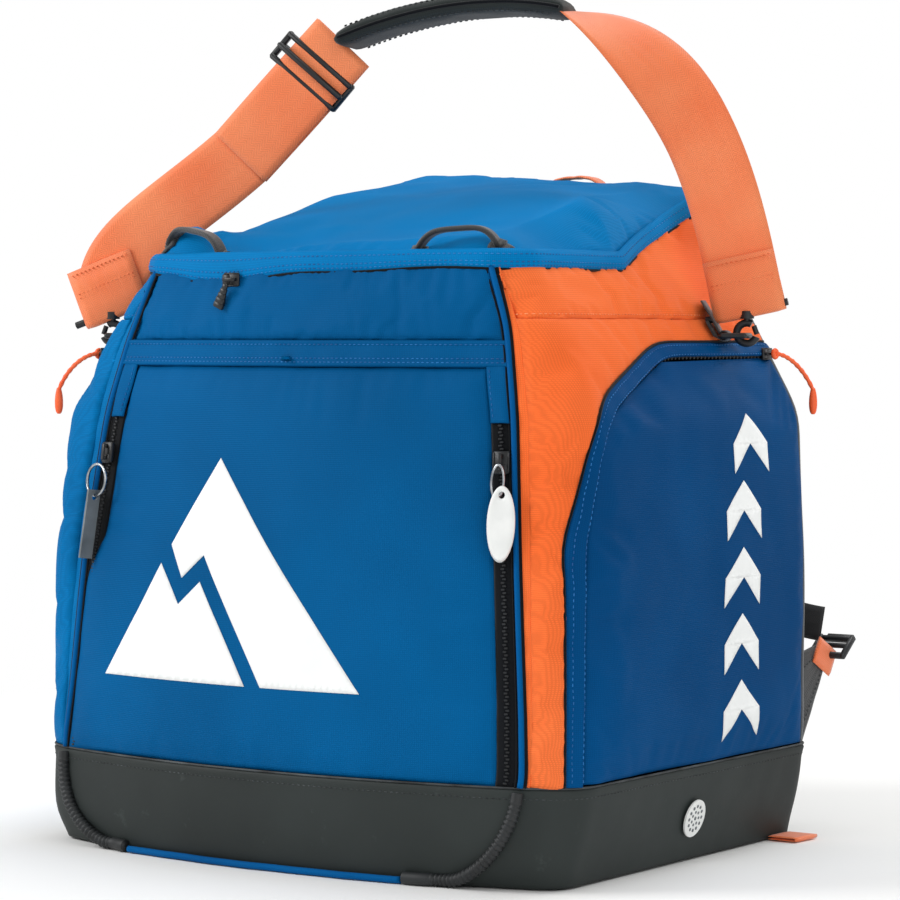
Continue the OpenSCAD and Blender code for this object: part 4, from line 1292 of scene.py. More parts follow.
def door_zip(side):
    """Tape and coil of a boot door's zip, hidden under the flap until the door is open."""
    rows = []
    for grow, lift in ((LANE, -0.6), (7.5, -0.8), (6, -0.9), (4.6, -0.9), (3.4, -1.0)):
        line = arch_line(side, grow, steps=140)
        rows.append(side_at(side, line[:, 0], line[:, 1]) + np.array([side * lift, 0, 0]))
    name = "right" if side > 0 else "left"
    tape = sheet(f"door_zip_tape_{name}", np.stack(rows, 0), TAPE, "root", "zip_tape", thick=0.9)
    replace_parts(tape, f"door_zip_{name}")
    line = arch_line(side, 4.4, steps=260)
    coil = zip_coil(side_at(side, line[:, 0], line[:, 1]) - np.array([side * 0.7, 0, 0]),
                    np.array([side, 0.0, 0.0]), pitch=2.6)
    finish_mesh(f"door_zip_coil_{name}", *coil, PLASTIC, "root", "zip_tape", shade=False)


def door_panel(side, material):
    """A boot door: a bulging padded panel that tucks in under its flap."""
    tucked = 2.8
    u, z = grid(np.linspace(0, 1, 76), np.linspace(DOOR_FLOOR, DOOR_TOP + tucked, 84))
    slope = arch_left_y(z, tucked)
    y = slope + (DOOR_CUT[side] - slope) * u
    p = side_at(side, side * y + DOOR_SHIFT[side], z)
    v = np.linspace(0, 1, 84)[None]
    tuck = np.minimum(smooth(0, 0.05, u), smooth(0, 0.05, 1 - v + 0 * u))
    belly = 2.6 * np.sin(math.pi * np.clip(u, 0, 1)) ** 0.7 * np.sin(math.pi * v) ** 0.6
    soft = rumple(p, 75, 2.0, 71 + side) + rumple(p, 30, 0.8, 73)
    creases = (((-134, 236), (-92, 222), 8, -2.6), ((-136, 204), (-92, 208), 11, 2.2),
               ((-138, 176), (-96, 168), 8, -2.4), ((-138, 140), (-98, 128), 12, 2.0),
               ((-128, 120), (0, 92), 16, 1.6), ((10, 330), (48, 304), 10, 1.8),
               ((70, 322), (112, 300), 10, -1.5), ((30, 82), (120, 108), 14, 1.4))
    folds = 0
    for (y0, z0), (y1, z1), width, height in creases:
        ends = [side_at(side, side * a + DOOR_SHIFT[side], b) for a, b in ((y0, z0), (y1, z1))]
        folds = folds + fold(p, ends[0], ends[1], width, height)
    hold = tuck * (1 - 0.5 * smooth(0.94, 1, u))
    p = p + normals(p) * (-1.5 * (1 - tuck) + (belly + soft + folds) * hold)[..., None]
    p = draped(p, 0.008, 0.8, 3.0, 77 + side)
    name = "right" if side > 0 else "left"
    door = sheet(f"door_{name}_cover", p, material, f"door_{name}", "blue_fabric", thick=2.0,
                 uv=p[..., 1:] + 300)
    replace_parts(door, f"door_panel_{name}")
    return surface_tree(door)


def door_graphic(tree):
    """A generic stack of chevrons up the right door."""
    shapes = []
    wide, tall, pitch = 50, 20, 45
    for k in range(5):
        z = 80 + k * pitch
        low = 27 + 24 * float(smooth(190, 300, z))
        mid, high = low + wide / 2, low + wide
        shapes.append([(low, z), (mid, z + 20), (high, z), (high, z + tall), (mid, z + 20 + tall),
                       (low, z + tall)])
    decal("door_print", tree, shapes, lambda u, v: side_at(1, u, v), (-1, 0, 0), PRINT, "door_right",
          "white_plastic", lift=0.45)


def doors():
    # The right door and its flap get the darker blue (painted shade); the left door and its flap get the lighter
    # blue (painted light from the left).
    for side, material in ((1, BLUE_PAINTED_SHADE), (-1, BLUE_PAINTED_SIDE_LIGHT)):
        tree = door_panel(side, material)
        if side > 0:
            door_graphic(tree)
        door_flap(side, material)
        door_zip(side)


# ---- Back and inside ----

def back_panel():
    """The back, from one side's edge round both corners to the other's."""
    ys = np.r_[np.linspace(150, 163, 7), 165, 166.5, 167.6]
    count = 50
    rows = []
    for v in np.linspace(0, 1, 60):
        z = np.full(len(ys), BASE_H) + v * (rim(ys) - BASE_H + 0.5)
        right = side_at(1, ys, z)
        flat_x = np.linspace(right[-1, 0], -right[-1, 0], count)[1:-1]
        middle = np.stack([flat_x, np.full(count - 2, 168.0), np.full(count - 2, z[-1])], -1)
        left = right[::-1] * np.array([-1, 1, 1])
        rows.append(np.vstack([right, middle, left]))
    p = np.stack(rows, 1)
    v = np.linspace(0, 1, 60)[None]
    p = p + normals(p) * ((rumple(p, 70, 1.0, 81) - 0.6) * np.sin(math.pi * v) ** 0.5)[..., None]
    p = sewn_edge(p, 1.0, 1.3)
    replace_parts(sheet("back_cover", p, LINING, "root", "back_mesh", thick=2.0), "back_panel")
    hinge = p[len(ys) - 2:1 - len(ys), -1] + np.array([0, 1.4, 0.6])
    tube("lid_hinge_cord", hinge, 1.7, LINING, "root", "back_mesh", (0, 0, 1), 10)


def back_pads():
    """Three crowned foam pads under air mesh, with a bound edge and two pressed channels."""
    lowest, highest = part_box("back_pads")
    half_w, depth = highest.x / MM, (highest.y - lowest.y) / MM
    first, last = lowest.z / MM, highest.z / MM
    gap = 16
    tall = (last - first - 2 * gap) / 3
    parts, edges = [], []
    for k in range(3):
        u, v = grid(np.linspace(-1, 1, 60), np.linspace(-1, 1, 30))
        rounder = 1 - 0.12 * (np.abs(u) * np.abs(v)) ** 3
        z = first + k * (tall + gap) + tall * (v * rounder + 1) / 2
        crown = (1 - np.abs(u) ** 7) ** 0.6 * (1 - np.abs(v) ** 4) ** 0.6
        channel = 2.0 * sum(np.exp(-(((u - c) / 0.035) ** 2)) for c in (-0.36, 0.36))
        y = BACK_Y + 0.9 + np.maximum(0, (depth - 0.6) * crown - channel * crown)
        p = np.stack([-u * half_w * rounder, y, z], -1)
        parts.append((p.reshape(-1, 3), grid_faces(60, 30), grid_uv(p)))
        rim_line = np.vstack([p[:, 0], p[-1, 1:], p[::-1, -1][1:], p[0, ::-1][1:-1]])
        edges.append(tube_parts(rim_line + np.array([0, 0.6, 0]), 1.5, (0, 1, 0), 8, True))
    v, f, u = joined(parts)
    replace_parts(finish_mesh("back_pad_covers", v, f, u, AIR, "root", "back_mesh"), "back_pads")
    finish_mesh("back_pad_binding", *joined(edges), BINDING_BLUE, "root", "blue_binding")


def inside():
    """The walls between the boots and the middle, and the binding on their top edges."""
    lowest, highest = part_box("boot_dividers")
    x = highest.x / MM - 2
    parts, bound = [], []
    for side in (1, -1):
        u, v = grid(np.linspace(0, 1, 40), np.linspace(0, 1, 40))
        y = lowest.y / MM + 6 + u * (150 - lowest.y / MM - 6)
        top = np.minimum(rim(y) - 24, 382 - 6 * np.sin(math.pi * u))
        z = 12 + v * (top - 12)
        front_limit = front_at(np.full_like(z, x), z)[..., 1] + 14
        y = np.maximum(y, front_limit)
        p = np.stack([np.full_like(y, side * x), y, z], -1)
        p[..., 0] += rumple(p, 60, 1.2, 91) * np.sin(math.pi * u)
        parts.append((p.reshape(-1, 3), grid_faces(40, 40), grid_uv(p)))
        bound.append(tube_parts(p[:, -1], 2.2, (1, 0, 0), 8))
    v, f, u = joined(parts)
    walls = finish_mesh("boot_divider_walls", v, f, u, LINING, "root", "lining")
    thick = walls.modifiers.new("foam", "SOLIDIFY")
    thick.thickness, thick.offset = 3.6 * MM, 0
    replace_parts(walls, "boot_dividers")
    finish_mesh("boot_divider_binding", *joined(bound), BINDING_BLUE, "root", "blue_binding")


def rim_loop(margin, step=3.0):
    """Points along the rim, from the left back round the front to the right back."""
    z_front = RIM_Z + margin
    ys = np.linspace(148, float(seam_y(z_front)) + 1.2, 90)
    left = side_at(-1, ys, rim(ys) + margin)
    xs = np.linspace(-float(seam_x(z_front)), float(seam_x(z_front)), 90)
    front = front_at(xs, z_front)
    right = (left * np.array([-1, 1, 1]))[::-1]
    return resampled(np.vstack([left, front[1:-1], right]), step)


def outward(path):
    t = np.gradient(path, axis=0)
    n = np.stack([t[:, 1], -t[:, 0], 0 * t[:, 0]], -1)
    return n / np.linalg.norm(n, axis=1, keepdims=True)


def lid_zip():
    rows = []
    for drop in (1, 4, 8, 12):
        path = rim_loop(-drop)
        count = 280
        path = resampled(path, 1.0)[:: max(1, len(resampled(path, 1.0)) // count)][:count]
        rows.append(path - outward(path) * 4.8)
    n = min(len(r) for r in rows)
    p = np.stack([r[:n] for r in rows[::-1]], 1)
    tape = sheet("lid_zip_tape", p, TAPE, "root", "zip_tape", thick=1.0)
    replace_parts(tape, "lid_zip")
    path = rim_loop(-2.4)
    finish_mesh("lid_zip_coil", *zip_coil(path - outward(path) * 4.4, np.array([0.0, 0.02, 1.0]), pitch=3.0),
                PLASTIC, "root", "zip_tape", shade=False)


# ---- Lid ----

def lid_plan():
    """The lid's four plan edges: front, back, left and right, in matching directions."""
    n, m = 110, 96
    x_front = float(seam_x(RIM_Z + 1))
    xs = np.linspace(-x_front, x_front, n)
    front = front_at(xs, RIM_Z + 1)
    y0 = float(seam_y(RIM_Z + 1)) + 0.6
    ys = y0 + (167.4 - y0) * (np.linspace(0, 1, m) * 0.8 + 0.2 * np.sin(np.linspace(0, math.pi / 2, m)))
    right = side_at(1, ys, rim(ys) + 1)
    right[0] = front[-1]
    left = right * np.array([-1, 1, 1])
    x_back = float(right[-1, 0])
    bx = np.linspace(-x_back, x_back, n)
    back = np.stack([bx, np.full(n, right[-1, 1]) + 0.9 * (1 - (bx / x_back) ** 8),
                     np.full(n, right[-1, 2])], -1)
    return front, back, left, right


def lid_surface():
    front, back, left, right = lid_plan()
    n, m = len(front), len(left)
    u = np.linspace(0, 1, n)[:, None, None]
    v = np.linspace(0, 1, m)[None, :, None]
    p = ((1 - v) * front[:, None] + v * back[:, None] + (1 - u) * left[None] + u * right[None]
         - ((1 - u) * (1 - v) * front[0] + u * (1 - v) * front[-1]
            + (1 - u) * v * back[0] + u * v * back[-1]))
    loop = np.vstack([front, right[1:], back[::-1][1:], left[::-1][1:-1]])
    plan = p[..., :2].reshape(-1, 2)
    a, b = loop[:, :2], np.roll(loop, -1, 0)[:, :2]
    d = b - a
    gap = np.full(len(plan), 1e9)
    for k in range(len(a)):
        t = np.clip(((plan - a[k]) @ d[k]) / max(d[k] @ d[k], 1e-9), 0, 1)
        gap = np.minimum(gap, np.linalg.norm(plan - a[k] - t[:, None] * d[k], axis=1))
    gap = gap.reshape(n, m)
    x, y = p[..., 0], p[..., 1]
    top = np.interp(y, [-150, -118, -66, 24, 84, 140, 168], [411, 414, 421, 447, 459, 469, 471])
    top = top - 13 * smooth(-60, 130, x) * smooth(0, 120, y)
    top += 15 * np.exp(-(((x + 132) / 26) ** 2) - (((y + 112) / 24) ** 2))
    top -= 11 * np.exp(-(((x + 66) / 36) ** 2) - (((y + 108) / 36) ** 2))
    top += 5 * np.exp(-(((x - 20) / 60) ** 2) - (((y - 10) / 70) ** 2))
    top -= 6 * np.exp(-(((x - 20) / 70) ** 2) - (((y + 90) / 28) ** 2))
    rise = 1 - (1 - np.clip(gap / 36, 0, 1)) ** 2.4
    edge = rim(y) + 0.5
    p[..., 2] = edge + np.maximum(top - edge, 7) * rise
    q = p
    soft = rumple(q, 80, 3.0, 101) + rumple(q, 36, 1.3, 102)
    folds = (fold(q, (-120, -100, 424), (-30, -60, 428), 13, 4.0)
             + fold(q, (-96, -112, 418), (10, -96, 420), 10, -3.2)
             + fold(q, (150, -60, 420), (120, 60, 452), 14, 3.0)
             + fold(q, (118, -70, 424), (96, 90, 458), 15, -3.0)
             + fold(q, (-130, 0, 444), (-60, 90, 462), 18, 2.6)
             + fold(q, (30, 40, 452), (110, 130, 464), 18, 3.0)
             + fold(q, (0, 60, 456), (70, 150, 466), 15, -2.4))
    p = p + normals(p) * ((soft + folds) * rise)[..., None]
    return draped(p, 0.012, 0.8, 5, 107)


def lid_shell():
    p = lid_surface()
    uv = np.stack([p[..., 0] + 200, p[..., 1] + 200], -1)
    # The lid gets the lighter blue: painted light on the top.
    lid = sheet("lid_cover", p, BLUE_PAINTED_TOP_LIGHT, "lid", "blue_fabric", thick=2.0, uv=uv)
    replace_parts(lid, "lid_shell")
    return surface_tree(lid)


def hem_low(path):
    """How far the hem's lower edge sags below the rim along the front."""
    x = path[:, 0]
    sag = 8.5 * np.exp(-(((x + 66) / 50) ** 2)) + 1.2 * np.sin(x / 23)
    return sag * smooth(-100, -128, path[:, 1])


def lid_hem(lid_tree):
    """The stitched border round the lid's front and sides, over the zip."""
    path = rim_loop(0)
    out = outward(path)
    low = hem_low(path)
    rows = []
    for t, lift in zip(np.linspace(0, 1, 12), (0.6, 1.7, 2.5, 2.8, 2.9, 2.9, 2.9, 2.8, 2.6, 2.3, 1.6, 0.3)):
        row = path + out * (lift - 2.6 * t * t)
        row = row + np.array([0, 0, 1]) * (-low * (1 - t) - 1.5 + 13.5 * t)[:, None]
        rows.append(row)
    p = np.stack(rows, 1)
    p = p + out[:, None] * (rumple(p, 30, 0.9, 111))[..., None]
    # The hem gets the lid's lighter blue: painted light from above.
    hem = sheet("lid_hem_border", p, BLUE_PAINTED_TOP_LIGHT, "lid", "blue_fabric", thick=1.4)
    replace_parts(hem, "lid_hem")
    tree = surface_tree(hem)
    parts = []
    for t in (0.2, 0.42, 0.8):
        row = p[:, int(t * 11)]
        row = resampled(row, 3.8)
        side = outward(row)
        pts, ups = [], []
        for q, o in zip(row, side):
            a, b = pressed(tree, [q + o], -o, 0.1)
            pts.append(a[0])
            ups.append(b[0])
        parts.append(stitch_parts(np.array(pts), np.array(ups), 0.35, 0.4))
    finish_mesh("lid_hem_stitches", *joined(parts), THREAD_BLUE, "lid", "blue_fabric")
    edge = p[:, 0] + out * 0.5
    tube("lid_hem_shadow_cord", edge, 0.9, TAPE, "lid", "black_binding", corners=6)


def grab_loops(lid_tree):
    """Black webbing loops on the lid's front corners: an arched cord and its two sewn ends."""
    for name in ("right", "left"):
        low, high = (np.array(c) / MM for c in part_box(f"grab_loop_{name}"))
        along = np.array([high[0] - low[0], high[1] - low[1], 0]) * (1, 1 if name == "right" else -1, 0)
        half = np.linalg.norm(along) / 2 - 2
        along /= np.linalg.norm(along)
        middle = np.array([(low[0] + high[0]) / 2, (low[1] + high[1]) / 2, low[2] + 2])
        t = np.linspace(-1, 1, 30)
        tall = high[2] - low[2] - 3
        feet, _ = pressed(lid_tree, np.array([middle - along * half, middle + along * half]) + (0, 0, 30),
                          (0, 0, -1), 1.0)
        path = feet[0] + (feet[1] - feet[0]) * ((t + 1) / 2)[:, None]
        path = path + np.array([0, 0, 1]) * (min(tall, 14) * (1 - t ** 4) ** 0.9)[:, None]
        across = np.tile(np.cross((0, 0, 1), along), (30, 1))
        loop = band(f"grab_loop_{name}_web", path, across, 10, 3.6, BLACK_WEB, f"grab_loop_{name}",
                    "black_webbing")
        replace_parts(loop, f"grab_loop_{name}")
        ends = []
        for s in (-1, 1):
            spot = middle + along * s * (half + 1)
            line = [spot + along * d for d in np.linspace(-7, 7, 7)]
            points, ups = pressed(lid_tree, np.array(line), (0, 0, -1), 1.4)
            across_end = np.cross(ups, np.gradient(points, axis=0))
            across_end /= np.linalg.norm(across_end, axis=1, keepdims=True)
            ends.append(band_parts(points, across_end, 10, 3.2))
            points[:, 2] += 2
            ends.append(band_parts(points[2:5], across_end[2:5], 9, 3.0))
        finish_mesh(f"grab_loop_ends_{name}", *joined(ends), BLACK_WEB, "lid", "black_webbing")


def haul_loop(lid_tree):
    low, high = (np.array(c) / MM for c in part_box("haul_loop"))
    half, tall = (high[0] - low[0]) / 2, high[2] - low[2]
    t = np.linspace(-1, 1, 30)
    x = (low[0] + high[0]) / 2 + half * 0.8 * t
    base, _ = pressed(lid_tree, np.stack([x, np.full(30, (low[1] + high[1]) / 2), np.full(30, 480.0)], -1),
                      (0, 0, -1), -0.6)
    path = np.stack([x, base[:, 1], base[:, 2] + 0.45 * tall * (1 - t ** 4) ** 0.9], -1)
    across = np.tile((0.0, 1.0, 0.0), (30, 1))
    loop = band("haul_loop_web", path, across, 12, 2.2, STRAP, "lid", "orange_webbing")
    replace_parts(loop, "haul_loop")


# ---- Zip sliders and pulls ----

def slider_parts(length, width, high):
    """A zip slider: two plates, a nose, and a bridge for the pull. Along Z, outwards -Y."""
    parts = [box_parts((width, high * 0.34, length * 0.9), (0, -high * 0.22, 0), 0.7),
             box_parts((width * 0.8, high * 0.3, length * 0.4), (0, -high * 0.36, -length * 0.28), 0.6),
             box_parts((width * 0.26, high * 0.5, length * 0.16), (0, -high * 0.58, length * 0.26), 0.5),
             box_parts((width * 0.26, high * 0.5, length * 0.16), (0, -high * 0.58, -length * 0.26), 0.5),
             box_parts((width * 0.28, high * 0.2, length * 0.7), (0, -high * 0.86, 0), 0.5)]
    for s in (-1, 1):
        parts.append(box_parts((width * 0.12, high * 0.5, length * 0.8), (s * width * 0.46, -high * 0.2, 0), 0.4))
    return joined(parts)


def node_middle(node):
    low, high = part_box(node)
    return (np.array(low) + np.array(high)) / 2 / MM


def sliders():
    front_turns = {1: turned((0, 0, 1), 14), -1: turned((0, 0, 1), -14)}
    lean = turned((1, 0, 0), -5.7)
    for side, name in ((1, "right"), (-1, "left")):
        turn = front_turns[side] @ lean
        centre = node_middle(f"front_slider_{name}") + turn @ np.array([0, 3.2, 0])
        body = finish_mesh(f"front_slider_body_{name}", *placed(slider_parts(16, 11, 6.4), turn, centre),
                           PLASTIC, f"front_slider_{name}", "black_plastic")
        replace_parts(body, f"front_slider_{name}")
    centre = node_middle("lid_slider") + np.array([0, 2.6, 0])
    body = finish_mesh("lid_slider_body", *placed(slider_parts(15, 9, 5.4), turned((0, 1, 0), 90), centre),
                       PLASTIC, "lid_slider", "black_plastic")
    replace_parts(body, "lid_slider")
    for side, name in ((1, "right"), (-1, "left")):
        turn = turned((0, 0, 1), 90 * side) @ turned((0, 1, 0), 90)
        centre = node_middle(f"door_slider_{name}") - np.array([side * 1.8, 0, 0])
        body = finish_mesh(f"door_slider_body_{name}", *placed(slider_parts(14, 8, 4.6), turn, centre),
                           PLASTIC, f"door_slider_{name}", "black_plastic")
        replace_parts(body, f"door_slider_{name}")


def door_cords():
    """Orange cord pulls: a knotted cord that hangs in a curve and a moulded grip."""
    for side, name in ((1, "right"), (-1, "left")):
        low, high = (np.array(c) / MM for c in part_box(f"door_cord_{name}"))
        outer = high[0] if side > 0 else low[0]
        start = node_middle(f"door_slider_{name}") + np.array([side * 3.4, side * 1.5, 0])
        end_y = high[1] if side > 0 else low[1]
        tip = np.array([outer - side * 3.4, end_y - side * 3.4, low[2]])
        path = bezier(start, start + (side * 3, side * 12, 1), (tip[0] - side * 8, tip[1] - side * 1, tip[2] + 34),
                      (tip[0], tip[1], tip[2] + 17), 30)
        twist = 1.5 + 0.22 * np.sin(np.arange(31) * 1.9)
        parts = [tube_parts(path, twist, (side, 0.2, 0), 12)]
        t = np.linspace(0, 1, 22)
        shape = 3.4 * np.sin(math.pi * np.clip(t * 0.93 + 0.06, 0, 1)) ** 0.35 * (0.72 + 0.28 * t)
        grip = tip + np.array([0, 0, 1]) * (18.5 * (1 - t))[:, None]
        parts.append(tube_parts(grip, shape, (1, 0, 0), 16))
        knot = start + np.array([side * 1.0, side * 0.5, 0.0])
        ring = [knot + np.array([0.4 * side, 2.6 * math.cos(a), 2.6 * math.sin(a)])
                for a in np.linspace(0, 2 * math.pi, 18, endpoint=False)]
        parts.append(tube_parts(np.array(ring), 1.5, (1, 0, 0), 8, True))
        cord = finish_mesh(f"door_cord_pull_{name}", *joined(parts), CORD, f"door_cord_{name}", "orange_cord")
        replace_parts(cord, f"door_cord_{name}")


def bevelled(node, width):
    """Softens the edges of a moulded piece."""
    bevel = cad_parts[node].modifiers.new("moulded_edge", "BEVEL")
    bevel.width, bevel.segments = width * MM, 3
    bevel.limit_method, bevel.angle_limit = "ANGLE", math.radians(40)
    bevel.harden_normals = False


def kept_nodes():
    """Hardware whose shape comes straight from the frame: it gets its finish and soft edges here."""
    looks = {
        "base_board": (BOARD, 0), "side_badge": (WHITE, 0.4),
        "zip_tag_left": (GREY, 0.5), "zip_ring_left": (WIRE, 0),
        "clip_ring_right": (PLASTIC, 0), "clip_ring_left": (PLASTIC, 0),
        "hook_swivel_right": (PLASTIC, 0), "hook_swivel_left": (PLASTIC, 0),
        "snap_hook_right": (PLASTIC, 0), "snap_hook_left": (PLASTIC, 0),
        "hook_gate_right": (PLASTIC, 0), "hook_gate_left": (PLASTIC, 0),
    }
    for node, (material, soft) in looks.items():
        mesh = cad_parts[node].data
        mesh.materials.clear()
        mesh.materials.append(material)
        if soft:
            bevelled(node, soft)
    for node in ("zip_ring_left", "snap_hook_right", "snap_hook_left", "clip_ring_right", "clip_ring_left",
                 "hook_gate_right", "hook_gate_left", "hook_swivel_right", "hook_swivel_left"):
        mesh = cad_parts[node].data
        mesh.polygons.foreach_set("use_smooth", [True] * len(mesh.polygons))


def oval_tag():
    """The oval tag on the right front zip: a thin rounded plate with an eyelet."""
    low, high = (np.array(c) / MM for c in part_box("zip_tag_right"))
    turn = turned((0, 0, 1), 14) @ turned((1, 0, 0), -5.7)
    centre = (low + high) / 2
    half_w, half_l, eye_z, eye_r = 9.8, 24.5, 18.5, 2.3
    a = np.linspace(0, 2 * math.pi, 64, endpoint=False)
    profile = ((0, 0.7, 0), (0.05, 1.0, 0), (0.6, 1.0, 1), (0.93, 0.75, 1), (1, 0, 1),
               (0.93, -0.75, 1), (0.6, -1.0, 1), (0.05, -1.0, 0), (0, -0.7, 0))
    rings = []
    for share, depth, _ in profile:
        x = np.cos(a) * (eye_r + (half_w - eye_r) * share)
        z = eye_z * (1 - share) + np.sin(a) * (eye_r + (half_l - eye_r) * share)
        rings.append(np.stack([x, np.full(64, float(depth)), z], -1))
    p = np.stack(rings + rings[:1], 1)
    verts, faces = p.reshape(-1, 3), grid_faces(64, len(profile) + 1, close=True)
    tag = finish_mesh("zip_tag_oval", *placed((verts, faces, None), turn, centre), WHITE, "zip_tag_right",
                      "white_plastic")
    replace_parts(tag, "zip_tag_right")


def lid_pull():
    """The short tapered pull on the lid's slider."""
    low, high = (np.array(c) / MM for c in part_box("lid_puller"))
    top = np.array([(low[0] + high[0]) / 2, (low[1] + high[1]) / 2, high[2] - 1.5])
    parts = []
    for k, wide in enumerate((4.2, 5.4, 6.6, 7.6, 8.2)):
        parts.append(box_parts((wide, 2.2 + 0.25 * k, 4.2), (0, 0, -1.5 - 3.4 * k), 0.7))
    pull = finish_mesh("lid_pull_tab", *placed(joined(parts), turned((0, 1, 0), 24), top), PLASTIC,
                       "lid_puller", "black_plastic")
    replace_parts(pull, "lid_puller")


def tag_links():
    """The wire link between the right front slider and its tag."""
    middle = node_middle("front_slider_right")
    tag_top = np.array(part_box("zip_tag_right")[1]) / MM
    start = middle + np.array([0.8, -3.4, -3])
    end = np.array([middle[0] - 0.4, middle[1] - 3.6, tag_top[2] - 8.5])
    points = []
    for a in np.linspace(0, 2 * math.pi, 28, endpoint=False):
        along = (start + end) / 2 + (end - start) / 2 * math.cos(a) * 1.15
        points.append(along + np.array([4.2, 0.9, 0]) * math.sin(a))
    tube("tag_link_wire", np.array(points), 0.9, WIRE, "front_slider_right", "steel_wire", (0, 1, 0), 8, True)


def badge_dots():
    """A ring of dots on the badge."""
    tree = surface_tree(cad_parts["side_badge"])
    centre = node_middle("side_badge")
    shapes = []
    for count, radius, size in ((12, 8.2, 1.15), (7, 4.4, 1.0), (1, 0, 1.3)):
        for k in range(count):
            a = 2 * math.pi * k / count
            mid = (centre[1] + radius * math.cos(a), centre[2] + radius * math.sin(a))
            shapes.append([(mid[0] + size * math.cos(b), mid[1] + size * math.sin(b))
                           for b in np.linspace(0, 2 * math.pi, 10, endpoint=False)])
    decal("badge_dots", tree, shapes, lambda u, v: np.stack([np.full(len(u), 210.0), u, v], -1), (-1, 0, 0),
          GREY, "root", "grey_rubber", lift=0.25)


# ---- Strap ----

TURN = math.radians(24)
STRAP_DIR = np.array([math.cos(TURN), math.sin(TURN), 0])
STRAP_OUT = np.array([math.sin(TURN), -math.cos(TURN), 0])


def strap_point(s, z):
    return STRAP_DIR * s + np.array([0, 0, float(z)])


def leg_across(path, twist):
    """Across directions of a leg: in the strap's plane, turned towards its normal by twist."""
    t = np.gradient(path, axis=0)
    flat = np.cross(np.broadcast_to(STRAP_OUT, t.shape), t)
    flat /= np.linalg.norm(flat, axis=1, keepdims=True)
    across = flat * np.cos(twist)[:, None] + STRAP_OUT * np.sin(twist)[:, None]
    return across / np.linalg.norm(across, axis=1, keepdims=True)


def bar_fold(foot, up, across):
    """The end of a leg: turned round the hook's bar and sewn back on itself."""
    out = STRAP_OUT
    points = [foot + up * 34 + out * 2.0, foot + up * 20 + out * 2.4, foot + up * 6 + out * 3.2]
    centre = foot - up * 4.5
    for a in np.linspace(20, 160, 8):
        points.append(centre + out * 3.6 * math.cos(math.radians(a)) - up * 3.6 * math.sin(math.radians(a)))
    points += [foot + up * 4 - out * 2.0, foot + up * 12 - out * 1.2]
    path = np.array(points)
    return band_parts(path, np.tile(across, (len(path), 1)), 50, 1.8, 9)


def strap_right():
    steps = 60
    path = bezier(strap_point(221, 374.5), strap_point(207, 440), strap_point(190, 547), strap_point(90, 579),
                  steps)
    t = np.linspace(0, 1, steps + 1)
    twist = math.pi / 2 * np.maximum(0, t * 2 - 1) ** 1.5
    across = leg_across(path, twist)
    sway = 1.2 * np.sin(t * 7)
    path = path + STRAP_OUT * sway[:, None] * (1 - t)[:, None]
    up = path[1] - path[0]
    up /= np.linalg.norm(up)
    parts = [band_parts(path, across, 50, 1.8, 11), bar_fold(path[0], up, across[0])]
    web = finish_mesh("strap_web_right", *joined(parts), STRAP, "strap", "orange_webbing")
    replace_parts(web, "strap_webbing_right")
    lines = []
    for k in (14, 17, 31):
        centre = path[0] + up * k + STRAP_OUT * 3.4
        lines.append(np.array([centre - across[0] * 23, centre + across[0] * 23]))
    rows = []
    for line in lines:
        points = resampled(line, 3.2)
        rows.append(stitch_parts(points, np.tile(STRAP_OUT, (len(points), 1)), 0.4, 0.5))
    stitch = finish_mesh("strap_stitches_right", *joined(rows), THREAD_ORANGE, "strap", "orange_webbing")
    return [web, stitch]


def strap_left():
    top, bend = strap_point(-66, 559), strap_point(-141, 479)
    parts = []
    for s in (-1, 1):
        path = np.array([top + (bend - top) * t + STRAP_OUT * s * (2.2 + 1.6 * math.sin(math.pi * t))
                         for t in np.linspace(0, 1, 24)])
        parts.append(band_parts(path, leg_across(path, np.zeros(24)), 50, 1.8, 11))
    foot = strap_point(-234, 374.5)
    path = bezier(bend + (top - bend) * 0.04, strap_point(-192, 436), strap_point(-250, 412), foot, 50)
    across = leg_across(path, np.zeros(51))
    parts.append(band_parts(path, across, 50, 1.8, 11))
    up = path[-2] - path[-1]
    up /= np.linalg.norm(up)
    parts.append(bar_fold(path[-1], up, across[-1]))
    web = finish_mesh("strap_web_left", *joined(parts), STRAP, "strap", "orange_webbing")
    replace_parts(web, "strap_webbing_left")
    rows = []
    for k in (14, 17, 31):
        centre = path[-1] + up * k + STRAP_OUT * 3.4
        points = resampled(np.array([centre - across[-1] * 23, centre + across[-1] * 23]), 3.2)
        rows.append(stitch_parts(points, np.tile(STRAP_OUT, (len(points), 1)), 0.4, 0.5))
    stitch = finish_mesh("strap_stitches_left", *joined(rows), THREAD_ORANGE, "strap", "orange_webbing")
    return [web, stitch]


